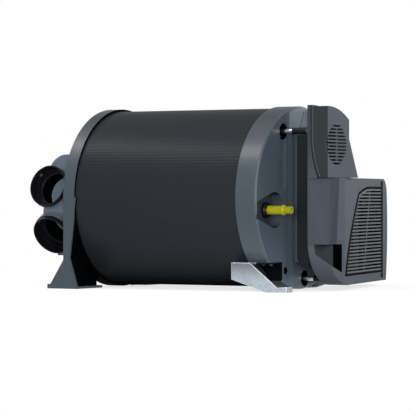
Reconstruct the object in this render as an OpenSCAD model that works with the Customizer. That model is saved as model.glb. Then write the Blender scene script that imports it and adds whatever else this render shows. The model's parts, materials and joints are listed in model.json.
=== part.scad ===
// Combined warm-air and water heater for a caravan or camper, lying on its side.
// Inside the modules X runs along the barrel towards the control end, with X = 0 at the left edge
// of the end cover, Y runs to the rear and Z up, with the barrel axis at Y = Z = 0.
// place() then sets the origin on the floor, under the middle of the whole heater.

/* [Barrel] */
// Outer radius of the jacket
barrel_r = 146; // [138:1:150]
// Jacket wall
jacket_wall = 1.5; // [1:0.1:2.5]
// Length of jacket that shows between the two end pieces
barrel_len = 308; // [270:1:380]
// Gap between the arch band and the floor
foot_gap = 1; // [1:0.5:20]

/* [Distributor cap] */
// Height of the arch band above the jacket
cap_lip = 4; // [3.5:0.5:10]
// Width of the arch band along the barrel
band_w = 22; // [16:1:34]
// Wall of the cap and its plenum
cap_wall = 3.5; // [2:0.5:5]
// Width of the leg at axis height
leg_w = 25; // [18:1:34]
// Width of the leg at its waist
waist_w = 12.7; // [9:0.1:18]
// Height of the waist above the floor
waist_h = 48; // [40:1:70]
// Reach of the foot to the left of the cap
foot_left = 32; // [15:1:45]
// Reach of the foot to the right of the cap's outer face
foot_right = 29; // [22:1:40]
// Height of the toe
toe_h = 7.5; // [4:0.5:12]
// Thickness of the foot's sole
sole_t = 4; // [3:0.5:6]
// Distance by which the leg stands in from the band
leg_set = 0.3; // [0.2:0.1:1]
// Distance between the middle of the heater and the inner end of each foot
foot_inner = 55; // [30:1:80]
// Radius of the screw holes in the feet
foot_hole_r = 2.75; // [2:0.25:4]
// Distance between the screw holes of the two feet
foot_hole_pitch = 210; // [190:1:240]
// Length of the plenum along the barrel
plenum_len = 44; // [36:1:60]
// Height of the plenum's top above the barrel axis
plenum_top = 72; // [62:1:90]
// Depth of the plenum's bottom below the barrel axis
plenum_bottom = 97; // [92:1:110]
// Radius of the plenum's outer top edge
plenum_round = 30; // [20:1:40]

/* [Outlets] */
// Outer diameter of an outlet
outlet_od = 69; // [66:0.5:74]
// Diameter of the duct that an outlet takes
duct_d = 65; // [60:0.5:65]
// Depth to which the duct enters
duct_depth = 16; // [12:1:16]
// Thickness of the shoulder that stops the duct
stop_t = 4; // [3:0.5:4]
// Width of that shoulder
stop_w = 4; // [2:0.5:6]
// Length of outlet that stands clear of the plenum
outlet_out = 8; // [6:1:12]
// Distance from the cap's outer face to the outlet axes
outlet_set = 35; // [35:1:44]
// Wall of the boss round an outlet
boss_wall = 1.5; // [1:0.5:3]
// Distance by which each boss stands out from the plenum
boss_step = 3; // [3:0.5:6]
// Depth below the mouth at which a boss ends
boss_len = 60; // [54:1:66]
// Tilt of the upper outlets above the horizontal
upper_tilt = 14; // [8:1:20]
// Tilt of the lower outlets below the horizontal
lower_tilt = 31; // [26:1:38]
// Mouth centre of the upper outlets, in from the arch band and up from the axis
upper_mouth_at = [5, 20];
// Mouth centre of the lower outlets, in from the arch band and up from the axis
lower_mouth_at = [17, -64];

/* [Tank and burner] */
// Room for the insulation between the tank and the jacket
insulation_t = 6.5; // [5:0.5:14]
// Radius of the tank's inner wall
tank_core_r = 84; // [78:1:96]
// Corner radius of the tank
tank_corner = 12; // [6:1:20]
// Wall of the tank
tank_wall = 1.5; // [1:0.1:2.5]
// Number of heat exchanger fins
fin_count = 36; // [18:1:48]
// Thickness of a fin
fin_t = 2; // [1:0.1:3]
// Radius of the heat exchanger's fire tube
fire_tube_r = 50; // [44:1:56]
// Radius of the burner head
burner_r = 30; // [24:1:36]
// Radius of the burner's mixing tube
mix_tube_r = 13; // [9:1:15]
// Length of the burner head
burner_len = 190; // [120:1:220]

/* [Flue] */
// Outer diameter of the exhaust pipe
exhaust_d = 55; // [50:1:58]
// Outer diameter of the combustion-air socket
air_socket_d = 80; // [76:1:88]
// Length of the air socket outside the jacket
air_socket_out = 59; // [44:1:69]
// Length of the exhaust pipe outside the jacket
exhaust_out = 94; // [84:1:114]
// Distance of the flue from the end cover's left edge
flue_x = 50; // [48:1:90]

/* [End cover] */
// Height of the end cover's ring above the jacket
cover_lip = 3; // [2.5:0.5:4]
// Width of the end cover's ring
cover_w = 38; // [34:1:48]
// Depth to which the jacket enters the ring
cover_lap = 8; // [5:1:12]
// Edge chamfer of the end cover
cover_chamfer = 2.5; // [1:0.5:4]
// Place of the hot-water fitting, in from the ring's front and up from the axis
hot_in = [60.4, -20];
// Place of the cold-water fitting, to the front of the axis and up from the ring's lowest point
cold_in = [53, 31];
// Radius of the pocket round the hot-water fitting
pocket_r = 29; // [22:1:32]
// Depth of that pocket
pocket_depth = 18; // [12:1:22]
// Width of the pocket's channel where it meets the rim
channel_w = 27; // [18:1:34]
// Height of the foot notch's seat above the ring's lowest point
notch_rise = 45; // [37:1:51]
// Distance of the foot notch's inner wall from the middle
notch_in = 64; // [64:1:72]
// Outer diameter of the water pipes
water_pipe_d = 12; // [10:0.5:13]
// Length of the hot-water spigot
spigot_len = 13; // [10:1:20]
// Depth to which the cold-water pipe is pushed in
push_depth = 18; // [14:1:20]

/* [Tie pins] */
// Place of the upper pin, to the front of the axis and down from the ring's top
upper_pin_in = [60, 42];
// Place of the lower pin, to the rear of the axis and up from the ring's lowest point
lower_pin_in = [11, 17];
// Diameter of a pin
pin_d = 8; // [6:0.5:9]
// Diameter of a sleeve
sleeve_d = 10.5; // [10:0.5:14]
// Length of a sleeve
sleeve_len = 26; // [16:1:34]

/* [Housing] */
// Gap between the end cover and the housing, spanned by the neck duct
neck_len = 44; // [38:1:54]
// Rear side of the neck duct's lower part behind the axis
neck_rear = 100; // [96:1:104]
// Rear side of the neck duct's upper part behind the axis
neck_top_rear = 62; // [56:1:66]
// Depth of the neck duct's underside below the axis
neck_base = 104; // [90:1:104]
// Depth of the housing along the barrel
house_depth = 36; // [34:1:46]
// Distance of the housing's front side from the axis
house_front = 60; // [54:1:64]
// Wall of the mouldings
house_wall = 3; // [2:0.5:4]
// Height of the top of the fan box above the axis
fan_top = 32; // [26:1:40]
// Height of the housing's underside above the ring's lowest point
base_rise = 7; // [3:1:11]
// Width of the fan box behind the barrel
fan_w = 143; // [135:1:158]
// Angle by which the intake face turns away
face_turn = 14; // [12:0.5:16]
// Radius of the lower front corner
corner_r = 75; // [60:1:85]
// Radius of the fan box's bowed rear side
bow_r = 420; // [380:1:600]
// Radius of the fan box's upper rear corner
top_corner_r = 28; // [20:1:32]
// Width of the carrier plate's folded front edge
fold_w = 21; // [16:1:24]
// Blend radius of the front edge at the top of the lower housing
blend_top = 46; // [30:1:52]
// Blend radius of the front edge above the corner recess
blend_low = 9; // [6:1:20]
// Depth of the corner recess's top below the axis
recess_top = 75; // [66:1:84]
// Clearance between seated pieces
fit = 0.3; // [0.2:0.05:0.4]

/* [Electronics cover] */
// Distance of the cover's top below the ring's top
box_drop = 0.5; // [0:0.5:11]
// Radius of the cover's curved top
box_curve = 130; // [110:1:160]
// Rear side of the cover behind the axis
box_rear = 17; // [12:1:20]
// Distance below the cover's top at which its rear side starts to slope
box_straight = 53.5; // [40:0.5:60]
// Distance by which that slope leads out
box_flare = 31; // [24:1:34]
// Distance of the parting line behind the housing at its top
parting_at = 5.5; // [5:0.5:8]
// Height at which the parting line starts to curve
parting_z = 100; // [90:1:110]
// Radius of the parting line's curve
parting_r = 172; // [165:1:190]
// Gap along the parting line at its top
parting_gap = 1; // [0.4:0.2:2]
// Difference between the two curves that widens that gap downwards
parting_spread = 18; // [8:1:24]
// Depth of the cover's flange
flange_t = 2.5; // [1.5:0.5:4]
// Width of the cover's flange
flange_w = 2; // [1:0.5:3]
// Diameter of the round vent
vent_d = 66; // [54:1:70]
// Centre of the round vent, to the front of the axis and down from the cover's top
vent_in = [27, 63.5];
// Rows of slots in the round vent
vent_rows = 12; // [8:1:14]

/* [Intake grille] */
// Rows of slots in the intake grille
grille_rows = 24; // [16:1:28]
// Share of a row that is open
slot_share = 0.52; // [0.4:0.02:0.6]
// Gap round the grille
grille_gap = 1.5; // [1:0.1:2]
// Thickness of the grille
grille_t = 3; // [2:0.5:4]
// Width of the rim that carries the grille
grille_rim = 4; // [3:0.5:6]
// Thickness of the ledge behind the grille
ledge_t = 2; // [1.5:0.5:3]

/* [Fans] */
// Radius of the circulation impeller
circ_r = 50; // [44:1:54]
// Number of circulation blades
circ_blades = 26; // [12:1:36]
// Centre of the circulation fan, behind the fan box's inner side and up from the axis
circ_in = [62, -55];
// Radius of the circulation fan's motor
circ_motor_r = 20; // [16:0.5:20]
// Radius of the combustion impeller
comb_r = 34; // [30:1:35]
// Centre of the combustion fan
comb_at = [24, 0];
// Length of the combustion fan's case
comb_case_len = 20; // [16:1:20]
// Radius of the combustion fan's motor
comb_motor_r = 18; // [14:0.5:20]
// Number of combustion blades
comb_blades = 14; // [8:1:20]
// Running clearance of a shaft
shaft_fit = 0.05; // [0.02:0.01:0.09]

/* [Foot brackets] */
// Distance of the bracket's plate from the ring's front
bracket_in = 25; // [21:1:29]
// Thickness of the sheet
sheet_t = 2.5; // [1.5:0.5:3]
// Reach of the bracket's foot to the right
bracket_reach = 80; // [74:1:90]
// Reach of the bracket's plate to the left, under the barrel
bracket_left = 22; // [14:1:26]
// Length of the plate's straight top
bracket_top = 34; // [30:1:40]
// Radius of the bracket's screws
screw_r = 2.5; // [2:0.25:3]
// Depth to which the bracket's screws enter the end cover
screw_len = 12; // [8:1:16]

/* [Gas] */
// Outer diameter of the gas pipe
gas_d = 8; // [6:1:10]
// Place of the gas pipe along the barrel and up from the axis
gas_at = [49, 50];
// Length of gas pipe that stands clear for the supply
gas_free = 18; // [14:1:24]

/* [Hidden] */
$fn = 96;

// A small overlap that keeps cuts clean
eps = 0.5;
cap_r = barrel_r + cap_lip;
cover_r = barrel_r + cover_lip;
axis_h = cap_r + foot_gap;
tank_r = barrel_r - jacket_wall - insulation_t;
air_socket_reach = barrel_r + air_socket_out;
exhaust_reach = barrel_r + exhaust_out;
upper_mouth = [cap_r - upper_mouth_at.x, upper_mouth_at.y];
lower_mouth = [cap_r - lower_mouth_at.x, lower_mouth_at.y];
hot_at = [hot_in.x - cover_r, hot_in.y];
cold_at = [-cold_in.x, cold_in.y - cover_r];
upper_pin = [-upper_pin_in.x, cover_r - upper_pin_in.y];
lower_pin = [lower_pin_in.x, lower_pin_in.y - cover_r];
notch_drop = cover_r - notch_rise;
house_base = cover_r - base_rise;
box_top = cover_r - box_drop;
vent_at = [-vent_in.x, box_top - vent_in.y];
bracket_y = cover_r - bracket_in;
cap_x = -(barrel_len + band_w);
outlet_x = cap_x - outlet_set;
boss_r = outlet_od / 2 + boss_wall;
duct_bore_r = duct_d / 2 + fit;
outlet_len = duct_depth + stop_t;
jacket_x0 = cap_x + cap_wall + fit;
cover_in = cover_lap;
house_x = cover_w + neck_len;
end_x = house_x + house_depth;
plate_t = 3;
plate_x = house_x + plate_t;
band_in = barrel_r + fit;
fan_x = 4;
back_t = 4;
fan_gap = 3;
fan_bay_y = cover_r + fan_gap;
fan_reach = fan_bay_y + fan_w;
circ_at = [fan_bay_y + circ_in.x, circ_in.y];
bay_y = neck_rear + 10;
x_min = outlet_x - boss_r;
y_min = -(upper_mouth.x + outlet_od / 2 * sin(upper_tilt));
x_mid = (x_min + end_x) / 2;
y_mid = (y_min + fan_reach) / 2;
flue_at = -flue_x;
flue_hole_r = air_socket_d / 2 - 4;
pipe_r = exhaust_d / 2 - 0.5;
gas_pipe_r = gas_d / 2 - 0.2;
comb_end = house_x - house_wall;
comb_x = comb_end - comb_case_len;
// Opening for the blown air, through the neck's end wall and the carrier plate
air_y = [50, 90];
air_z = [-95, -45];

// Sets the origin under the middle of the heater, on the floor
module place() {
    translate([-x_mid, -y_mid, axis_h]) children();
}

// A box between two limits along each axis
module block(x, y, z) {
    translate([x[0], y[0], z[0]]) cube([x[1] - x[0], y[1] - y[0], z[1] - z[0]]);
}

// A round bar along the barrel
module bar_x(r, x, at = [0, 0]) {
    translate([x[0], at[0], at[1]]) rotate([0, 90, 0]) cylinder(r = r, h = x[1] - x[0]);
}

// A round bar towards the rear
module bar_y(r, y, at = [0, 0]) {
    translate([at[0], y[0], at[1]]) rotate([-90, 0, 0]) cylinder(r = r, h = y[1] - y[0]);
}

// An outline drawn as seen from the control end, carried along the barrel
module along_x(x) {
    translate([x[0], 0, 0]) rotate([90, 0, 90]) linear_extrude(x[1] - x[0]) children();
}

// An outline drawn as seen from the front, carried towards the rear
module along_y(y) {
    translate([0, y[1], 0]) rotate([90, 0, 0]) linear_extrude(y[1] - y[0]) children();
}

// A profile of [radius, place] points turned round a line along the barrel
module turn_x(at = [0, 0]) {
    translate([0, at[0], at[1]]) rotate([0, 90, 0]) rotate_extrude() children();
}

// Both the front piece and its mirror image at the rear
module both_sides() {
    children();
    mirror([0, 1, 0]) children();
}

// Where two straight edges meet, each given by its normal and its distance from the axis
function meet(n1, c1, n2, c2) =
    [c1 * n2.y - c2 * n1.y, n1.x * c2 - n2.x * c1] / (n1.x * n2.y - n1.y * n2.x);

// Distributor cap

upper_dir = [cos(upper_tilt), sin(upper_tilt)];
lower_dir = [cos(lower_tilt), -sin(lower_tilt)];
upper_face = upper_mouth * upper_dir - outlet_out - boss_step;
lower_face = lower_mouth * lower_dir - outlet_out - boss_step;

// Half outline of the plenum: top corner, ridge between the outlets and bottom corner
function plenum_half(inset) = [
    meet(upper_dir, upper_face - inset, [0, 1], plenum_top - inset),
    meet(upper_dir, upper_face - inset, lower_dir, lower_face - inset),
    meet(lower_dir, lower_face - inset, [0, -1], plenum_bottom - inset)
];

module plenum_outline(inset) {
    half = plenum_half(inset);
    polygon([for (p = half) p, for (i = [2:-1:0]) [-half[i].x, half[i].y]]);
}

// Solid form of the plenum, drawn in by inset, up to a place along the barrel
module plenum_form(inset, end) {
    edge = [cap_x - plenum_len + plenum_round, plenum_top - plenum_round];
    wide = cap_r;
    difference() {
        along_x([cap_x - plenum_len + inset, end]) plenum_outline(inset);
        difference() {
            block([edge.x - plenum_round - eps, edge.x], [-wide, wide], [edge.y, plenum_top + eps]);
            bar_y(plenum_round - inset, [-wide - eps, wide + eps], edge);
        }
    }
}

// Frame of one outlet: mouth centre at the origin, +Z out of the mouth
module at_outlet(mouth, tilt, side) {
    translate([outlet_x, side * mouth.x, mouth.y])
        rotate([side * (tilt - 90), 0, 0]) children();
}

module at_outlets() {
    for (side = [-1, 1]) {
        at_outlet(upper_mouth, upper_tilt, side) children();
        at_outlet(lower_mouth, -lower_tilt, side) children();
    }
}

// Leg with its waist, its foot and the wall and sole that stiffen it
module leg() {
    leg_y = leg_set - cap_r;
    toe_slope = 6;
    heel_rise = 3;
    sole_short = 4;
    sole_in = foot_inner + 15;
    along_y([leg_y, leg_y + cap_wall])
        polygon([
            [cap_x, 0], [cap_x, waist_h - axis_h],
            [cap_x - foot_left + toe_slope, toe_h - axis_h], [cap_x - foot_left, toe_h - axis_h],
            [cap_x - foot_left, -axis_h], [cap_x + foot_right, -axis_h],
            [cap_x + waist_w, waist_h + heel_rise - axis_h], [cap_x + leg_w, 0]
        ]);
    block([cap_x, cap_x + cap_wall], [leg_y, -foot_inner], [-axis_h, 0]);
    block([cap_x, cap_x + foot_right - sole_short], [leg_y, -sole_in], [-axis_h, sole_t - axis_h]);
}

foot_hole_x = cap_x + foot_right / 2 + 2;

module duct_cap() {
    color("slategray") place() difference() {
        union() {
            bar_x(cap_r, [cap_x, cap_x + band_w]);
            both_sides() leg();
            plenum_form(0, cap_x);
            at_outlets() translate([0, 0, -boss_len]) cylinder(r = boss_r, h = boss_len - outlet_out);
        }
        bar_x(band_in, [cap_x + cap_wall, cap_x + foot_right + eps]);
        plenum_form(cap_wall, cap_x + cap_wall + eps);
        at_outlets() {
            translate([0, 0, -outlet_len]) cylinder(r = outlet_od / 2 + fit, h = outlet_len);
            translate([0, 0, cap_wall - boss_len]) cylinder(r = duct_bore_r - stop_w, h = boss_len);
        }
        for (side = [-1, 1])
            translate([foot_hole_x, side * foot_hole_pitch / 2, -axis_h - eps])
                cylinder(r = foot_hole_r, h = sole_t + 2 * eps);
    }
}

// Socket for one warm-air duct, with a shoulder that stops the duct
module outlet() {
    r = outlet_od / 2;
    stop_r = duct_bore_r - stop_w;
    color([0.08, 0.08, 0.09]) rotate_extrude() polygon([
        [duct_bore_r, 0], [r, 0], [r, -outlet_len], [stop_r, -outlet_len],
        [stop_r, -duct_depth], [duct_bore_r, -duct_depth]
    ]);
}

module front_upper_outlet() { place() at_outlet(upper_mouth, upper_tilt, -1) outlet(); }
module front_lower_outlet() { place() at_outlet(lower_mouth, -lower_tilt, -1) outlet(); }
module rear_upper_outlet() { place() at_outlet(upper_mouth, upper_tilt, 1) outlet(); }
module rear_lower_outlet() { place() at_outlet(lower_mouth, -lower_tilt, 1) outlet(); }

// Barrel and what it holds

module barrel_jacket() {
    color([0.2, 0.21, 0.23]) place() difference() {
        bar_x(barrel_r, [jacket_x0, cover_in]);
        bar_x(barrel_r - jacket_wall, [jacket_x0 - eps, cover_in + eps]);
        bar_y(flue_hole_r, [0, barrel_r + eps], [flue_at, 0]);
    }
}

module insulation() {
    color("ivory") place() difference() {
        bar_x(barrel_r - jacket_wall - fit, [jacket_x0, cover_in]);
        bar_x(tank_r + fit, [jacket_x0 - eps, cover_in + eps]);
        bar_y(flue_hole_r, [0, barrel_r + eps], [flue_at, 0]);
    }
}

tank_x0 = jacket_x0 + 8;
stem_r = water_pipe_d / 2 + 0.7;
// Radius and length of the tail that each water fitting has in the tank
tail_r = 4.8;
tail_len = 20;
sensor_at = [30, tank_r - 43];
sensor_r = 5;
sensor_len = 24;

// Ring-shaped form of the tank, drawn in by inset
module tank_form(inset) {
    corner_at = [tank_r - tank_corner, tank_x0 + tank_corner];
    difference() {
        union() {
            bar_x(tank_r - inset, [corner_at[1], cover_in - inset]);
            bar_x(corner_at[0], [tank_x0 + inset, cover_in - inset]);
            turn_x() translate(corner_at) circle(tank_corner - inset);
        }
        bar_x(tank_core_r + inset, [tank_x0 - eps, cover_in + eps]);
    }
}

// Hollow tank with a tunnel for the flue and a port for each fitting
module water_tank() {
    tunnel_r = exhaust_d / 2 + 4;
    color("lightsteelblue") place() difference() {
        union() {
            difference() {
                tank_form(0);
                tank_form(tank_wall);
            }
            intersection() {
                tank_form(0);
                bar_y(tunnel_r + tank_wall, [0, tank_r], [flue_at, 0]);
            }
        }
        bar_y(tunnel_r, [0, tank_r + eps], [flue_at, 0]);
        for (port = [[hot_at, tail_r], [cold_at, tail_r], [sensor_at, sensor_r]])
            bar_x(port[1] + fit, [cover_in - 2 * tank_wall, cover_in + eps], port[0]);
    }
}

exchanger_x0 = tank_x0 + 10;
tube_wall = 4;

// Finned fire tube, closed at its far end
module heat_exchanger() {
    fin_r = tank_core_r - fit;
    root_r = fire_tube_r - tube_wall / 2;
    color("silver") place() difference() {
        along_x([exchanger_x0, cover_in]) {
            circle(fire_tube_r);
            for (i = [0:fin_count - 1])
                rotate(i * 360 / fin_count) translate([root_r, -fin_t / 2]) square([fin_r - root_r, fin_t]);
        }
        bar_x(fire_tube_r - tube_wall, [exchanger_x0 + tube_wall, cover_in + eps]);
        bar_y(pipe_r + fit, [0, tank_r], [flue_at, 0]);
    }
}

burner_wall = 1.5;
mix_bore_r = mix_tube_r - burner_wall;

// Slotted head and the mixing tube that joins it to the combustion fan
module burner() {
    head_x = [cover_in - burner_len, 0];
    flange_r = mix_tube_r + 4;
    flange_len = 3;
    slots = 16;
    slot_len = 20;
    slot_step = 30;
    first_slot = 12;
    color("darkgray") place() difference() {
        union() {
            bar_x(burner_r, head_x);
            bar_x(mix_tube_r, [-burner_wall, comb_x]);
            bar_x(flange_r, [comb_x - flange_len, comb_x]);
        }
        bar_x(burner_r - burner_wall, [head_x[0] + burner_wall, head_x[1] - burner_wall]);
        bar_x(mix_bore_r, [-2 * burner_wall, comb_x + eps]);
        for (row = [0:2], i = [0:slots - 1]) {
            x = head_x[0] + first_slot + row * slot_step;
            rotate([i * 360 / slots, 0, 0]) block([x, x + slot_len], [0, burner_r + eps], [-1, 1]);
        }
    }
}

// Exhaust pipe, swelled at its free end to the size of the duct that it takes
module exhaust_pipe() {
    wall = 1.5;
    swell_y = air_socket_reach + 2;
    color("silver") place() difference() {
        union() {
            bar_y(pipe_r, [fire_tube_r - tube_wall, swell_y], [flue_at, 0]);
            bar_y(exhaust_d / 2, [swell_y, exhaust_reach], [flue_at, 0]);
        }
        bar_y(pipe_r - wall, [0, exhaust_reach + eps], [flue_at, 0]);
    }
}

// Saddle and socket for the combustion-air duct, round the exhaust pipe
module flue_socket() {
    r = air_socket_d / 2;
    wall = 3;
    saddle_r = r + 7;
    saddle_y = barrel_r + 4;
    spokes = 3;
    spoke_t = 4;
    spoke_len = 12;
    color([0.2, 0.21, 0.23]) place() difference() {
        union() {
            bar_y(r, [barrel_r / 2, air_socket_reach], [flue_at, 0]);
            bar_y(saddle_r, [barrel_r / 2, saddle_y], [flue_at, 0]);
        }
        difference() {
            bar_y(r - wall, [0, air_socket_reach + eps], [flue_at, 0]);
            for (i = [0:spokes - 1])
                translate([flue_at, saddle_y, 0]) rotate([0, i * 360 / spokes, 0])
                    block([-spoke_t / 2, spoke_t / 2], [0, spoke_len], [0, r]);
        }
        bar_y(pipe_r + fit, [0, air_socket_reach], [flue_at, 0]);
        bar_x(barrel_r + fit, [flue_at - saddle_r - eps, flue_at + saddle_r + eps]);
    }
}

// End cover and water fittings

pocket_x = cover_w - pocket_depth;
// Height of the black collar under the hot-water fitting
collar_h = 7;
pin_hole_r = 13;
pin_seat_x = cover_w - 18;
pin_end_x = cover_in + 3;

// Outline of the neck duct, seen from the control end
neck_front = 21;
shoulder_front = 41;
shoulder_z = 105;

module neck_outline(inset) {
    r = cover_r - 4 - inset;
    step = shoulder_z + inset;
    base = inset - neck_base;
    front = inset - neck_front;
    brow = inset - shoulder_front;
    rear = neck_rear - inset;
    top_rear = neck_top_rear - inset;
    ledge = fan_top - inset;
    a0 = acos(top_rear / r);
    a1 = acos(brow / r);
    polygon([
        for (i = [0:12]) r * [cos(a0 + (a1 - a0) * i / 12), sin(a0 + (a1 - a0) * i / 12)],
        [brow, step], [front, step], [front, base], [rear, base], [rear, ledge], [top_rear, ledge]
    ]);
}

module foot_notch() {
    block([-eps, cover_w + eps], [-cover_r - eps, -notch_in], [-cover_r - eps, -notch_drop]);
}

seat_x = [cover_in + 1, cover_w - 5];
seat_mid = (seat_x[0] + seat_x[1]) / 2;
// The housing's bay starts just beyond the rear bracket
bay_x = 2 * seat_mid + bracket_left + 1;
bracket_screw_x = [seat_mid - 7, seat_mid + 7];
bracket_screw_y = notch_in + 20;
// Socket that the cold-water pipe is pushed into
push_r = water_pipe_d / 2 + 0.05;
push_x = cover_w - push_depth;
// Shallow flute in the cover's face, under the upper pin
flute_r = 28;
flute_depth = 2;
flute_y = upper_pin.x - 2;
flute_z = [hot_at.y + pocket_r + 3, upper_pin.y - 9];

module end_cover() {
    channel_y = hot_at.x - pocket_r * 0.3;
    rim_wall = 4;
    color("slategray") place() difference() {
        turn_x() polygon([
            [0, cover_in], [band_in, cover_in], [band_in, 0], [cover_r, 0],
            [cover_r, cover_w - cover_chamfer], [cover_r - cover_chamfer, cover_w], [0, cover_w]
        ]);
        bar_x(pocket_r, [pocket_x, cover_w + eps], hot_at);
        along_x([pocket_x, cover_w + eps]) polygon([
            [channel_y, hot_at.y + pocket_r * 0.95], [channel_y, hot_at.y - pocket_r * 0.95],
            [rim_wall - cover_r, hot_at.y - channel_w / 2], [rim_wall - cover_r, hot_at.y + channel_w / 2]
        ]);
        bar_x(stem_r + fit, [cover_in - eps, cover_w], hot_at);
        bar_x(push_r, [push_x - eps, cover_w + eps], cold_at);
        bar_x(stem_r + fit, [cover_in - eps, push_x], cold_at);
        translate([cover_w + flute_r - flute_depth, flute_y, flute_z[0]])
            cylinder(r = flute_r, h = flute_z[1] - flute_z[0]);
        for (at = [upper_pin, lower_pin]) {
            bar_x(pin_hole_r, [pin_seat_x, cover_w + eps], at);
            bar_x(pin_d / 2 + fit, [pin_end_x, cover_w], at);
        }
        bar_x(sensor_r + fit, [cover_in - eps, cover_w + eps], sensor_at);
        intersection() {
            difference() {
                bar_x(tank_core_r, [cover_in - eps, cover_w + eps]);
                bar_x(fire_tube_r, [cover_in - 2 * eps, cover_w + 2 * eps]);
            }
            along_x([cover_in - eps, cover_w + eps]) neck_outline(house_wall);
        }
        bar_x(mix_tube_r + fit, [cover_in - eps, cover_w + eps]);
        both_sides() foot_notch();
        for (side = [-1, 1], x = bracket_screw_x)
            translate([x, side * bracket_screw_y, -notch_drop - eps])
                cylinder(r = screw_r + 0.1, h = screw_len + 1 + eps);
    }
}

module hot_water_fitting() {
    stand = 18;
    ring_w = 4;
    tip_r = water_pipe_d / 2;
    bore = tip_r - 2;
    body_r = tip_r + 1.3;
    ring_r = tip_r + 2.3;
    tail_x = cover_in - tail_len;
    body_x = pocket_x + collar_h;
    spigot_x = cover_w + stand;
    tip_x = spigot_x + spigot_len;
    color("gold") place() turn_x(hot_at) polygon([
        [bore, tail_x], [tail_r, tail_x], [tail_r, cover_in], [stem_r, cover_in], [stem_r, body_x],
        [body_r, body_x], [body_r, spigot_x - ring_w], [ring_r, spigot_x - ring_w], [ring_r, spigot_x],
        [tip_r, spigot_x], [tip_r, tip_x], [bore, tip_x]
    ]);
}

module fitting_collar() {
    bore = stem_r + 0.1;
    foot_r = 13;
    head_r = 11;
    edge_x = pocket_x + collar_h - 3;
    head_x = pocket_x + collar_h;
    color([0.08, 0.08, 0.09]) place() turn_x(hot_at) polygon([
        [bore, pocket_x], [foot_r, pocket_x], [foot_r, edge_x], [head_r, head_x], [bore, head_x]
    ]);
}

// Stem that leads the cold water from the cover's socket into the tank
module cold_water_fitting() {
    bore = push_r - 2;
    tail_x = cover_in - tail_len;
    color([0.08, 0.08, 0.09]) place() turn_x(cold_at) polygon([
        [bore, tail_x], [tail_r, tail_x], [tail_r, cover_in], [stem_r, cover_in],
        [stem_r, push_x - fit], [bore, push_x - fit]
    ]);
}

module water_sensor() {
    head_r = sensor_r + 3;
    head_len = 9;
    color("darkkhaki") place() {
        bar_x(sensor_r, [cover_in - sensor_len, cover_w], sensor_at);
        bar_x(head_r, [cover_w, cover_w + head_len], sensor_at);
    }
}

module tie_pins() {
    color("gainsboro") place() for (at = [upper_pin, lower_pin])
        bar_x(pin_d / 2, [pin_end_x + fit, house_x], at);
}

module pin_sleeves() {
    color([0.08, 0.08, 0.09]) place() for (at = [upper_pin, lower_pin])
        difference() {
            bar_x(sleeve_d / 2, [house_x - sleeve_len, house_x], at);
            bar_x(pin_d / 2 + 0.1, [house_x - sleeve_len - eps, house_x + eps], at);
        }
}

// Housing

// Duct with an end wall that the combustion fan and the carrier plate bear on
module neck_duct() {
    color([0.16, 0.17, 0.18]) place() difference() {
        along_x([cover_w, house_x]) neck_outline(0);
        along_x([cover_w - eps, comb_end]) neck_outline(house_wall);
        bar_x(comb_motor_r + fit, [comb_end - eps, house_x + eps], comb_at);
        block([comb_end - eps, house_x + eps], air_y, air_z);
        bar_y(gas_pipe_r + fit, [0, neck_top_rear + eps], gas_at);
    }
}

// Plan of the lower housing: front bay, turned intake face and fan box
module house_plan(inset, back) {
    w = inset / cos(face_turn);
    k = tan(face_turn);
    rear = fan_reach - inset;
    polygon([
        [house_x - back, inset - house_front], [end_x - inset, inset - house_front],
        [end_x - inset, (inset - w) / k], [end_x - w - rear * k, rear], [fan_x - back, rear],
        [fan_x - back, fan_bay_y + inset], [bay_x + inset, fan_bay_y + inset],
        [bay_x + inset, bay_y + inset], [house_x - back, bay_y + inset]
    ]);
}

// Front edge whose blend radius grows from the corner recess to the top
module front_form(inset) {
    slice = 0.01;
    back = 30;
    side = [40, 100];
    hull() for (stage = [[fan_top, blend_top], [-recess_top, blend_low]])
        translate([0, 0, stage[0]]) {
            r = stage[1];
            translate([end_x - r, r - house_front, 0]) cylinder(r = r - inset, h = slice, $fn = 64);
            translate([house_x - back, inset - house_front, 0]) cube([back, side[1], slice]);
            translate([house_x - back, 0, 0]) cube([house_depth + back - inset, side[0], slice]);
        }
}

// Middle of the bow behind the fan box, and of the rounding where the bow meets the top
bow_at = [fan_reach - bow_r, -50];
top_corner_z = fan_top - top_corner_r;
top_corner_y = bow_at.x + sqrt(bow_r * bow_r - (top_corner_z - bow_at.y) * (top_corner_z - bow_at.y)) - top_corner_r;

// Solid form of the lower housing, drawn in by inset and open at the back by back
module house_form(inset, back = 0) {
    z = [inset - house_base, fan_top - inset];
    corner = [corner_r - house_front, corner_r - house_base];
    fan_side = [fan_x - 20, end_x + 1];
    difference() {
        intersection() {
            translate([0, 0, z[0]]) linear_extrude(z[1] - z[0]) house_plan(inset, back);
            bar_x(bow_r - inset, fan_side, bow_at);
        }
        difference() {
            block(fan_side, [top_corner_y, fan_reach + 1], [top_corner_z, fan_top + 1]);
            bar_x(top_corner_r - inset, [fan_side[0] - 1, fan_side[1] + 1], [top_corner_y, top_corner_z]);
        }
        difference() {
            block([house_x - 5, end_x + 1], [-house_front - 1, corner.x], [-house_base - 1, corner.y]);
            bar_x(corner_r - inset, [house_x - 6, end_x + 2], corner);
        }
        difference() {
            block([house_x + 1, end_x + 1], [-house_front - 1, 0], [-recess_top, fan_top + 1]);
            front_form(inset);
        }
    }
}

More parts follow.
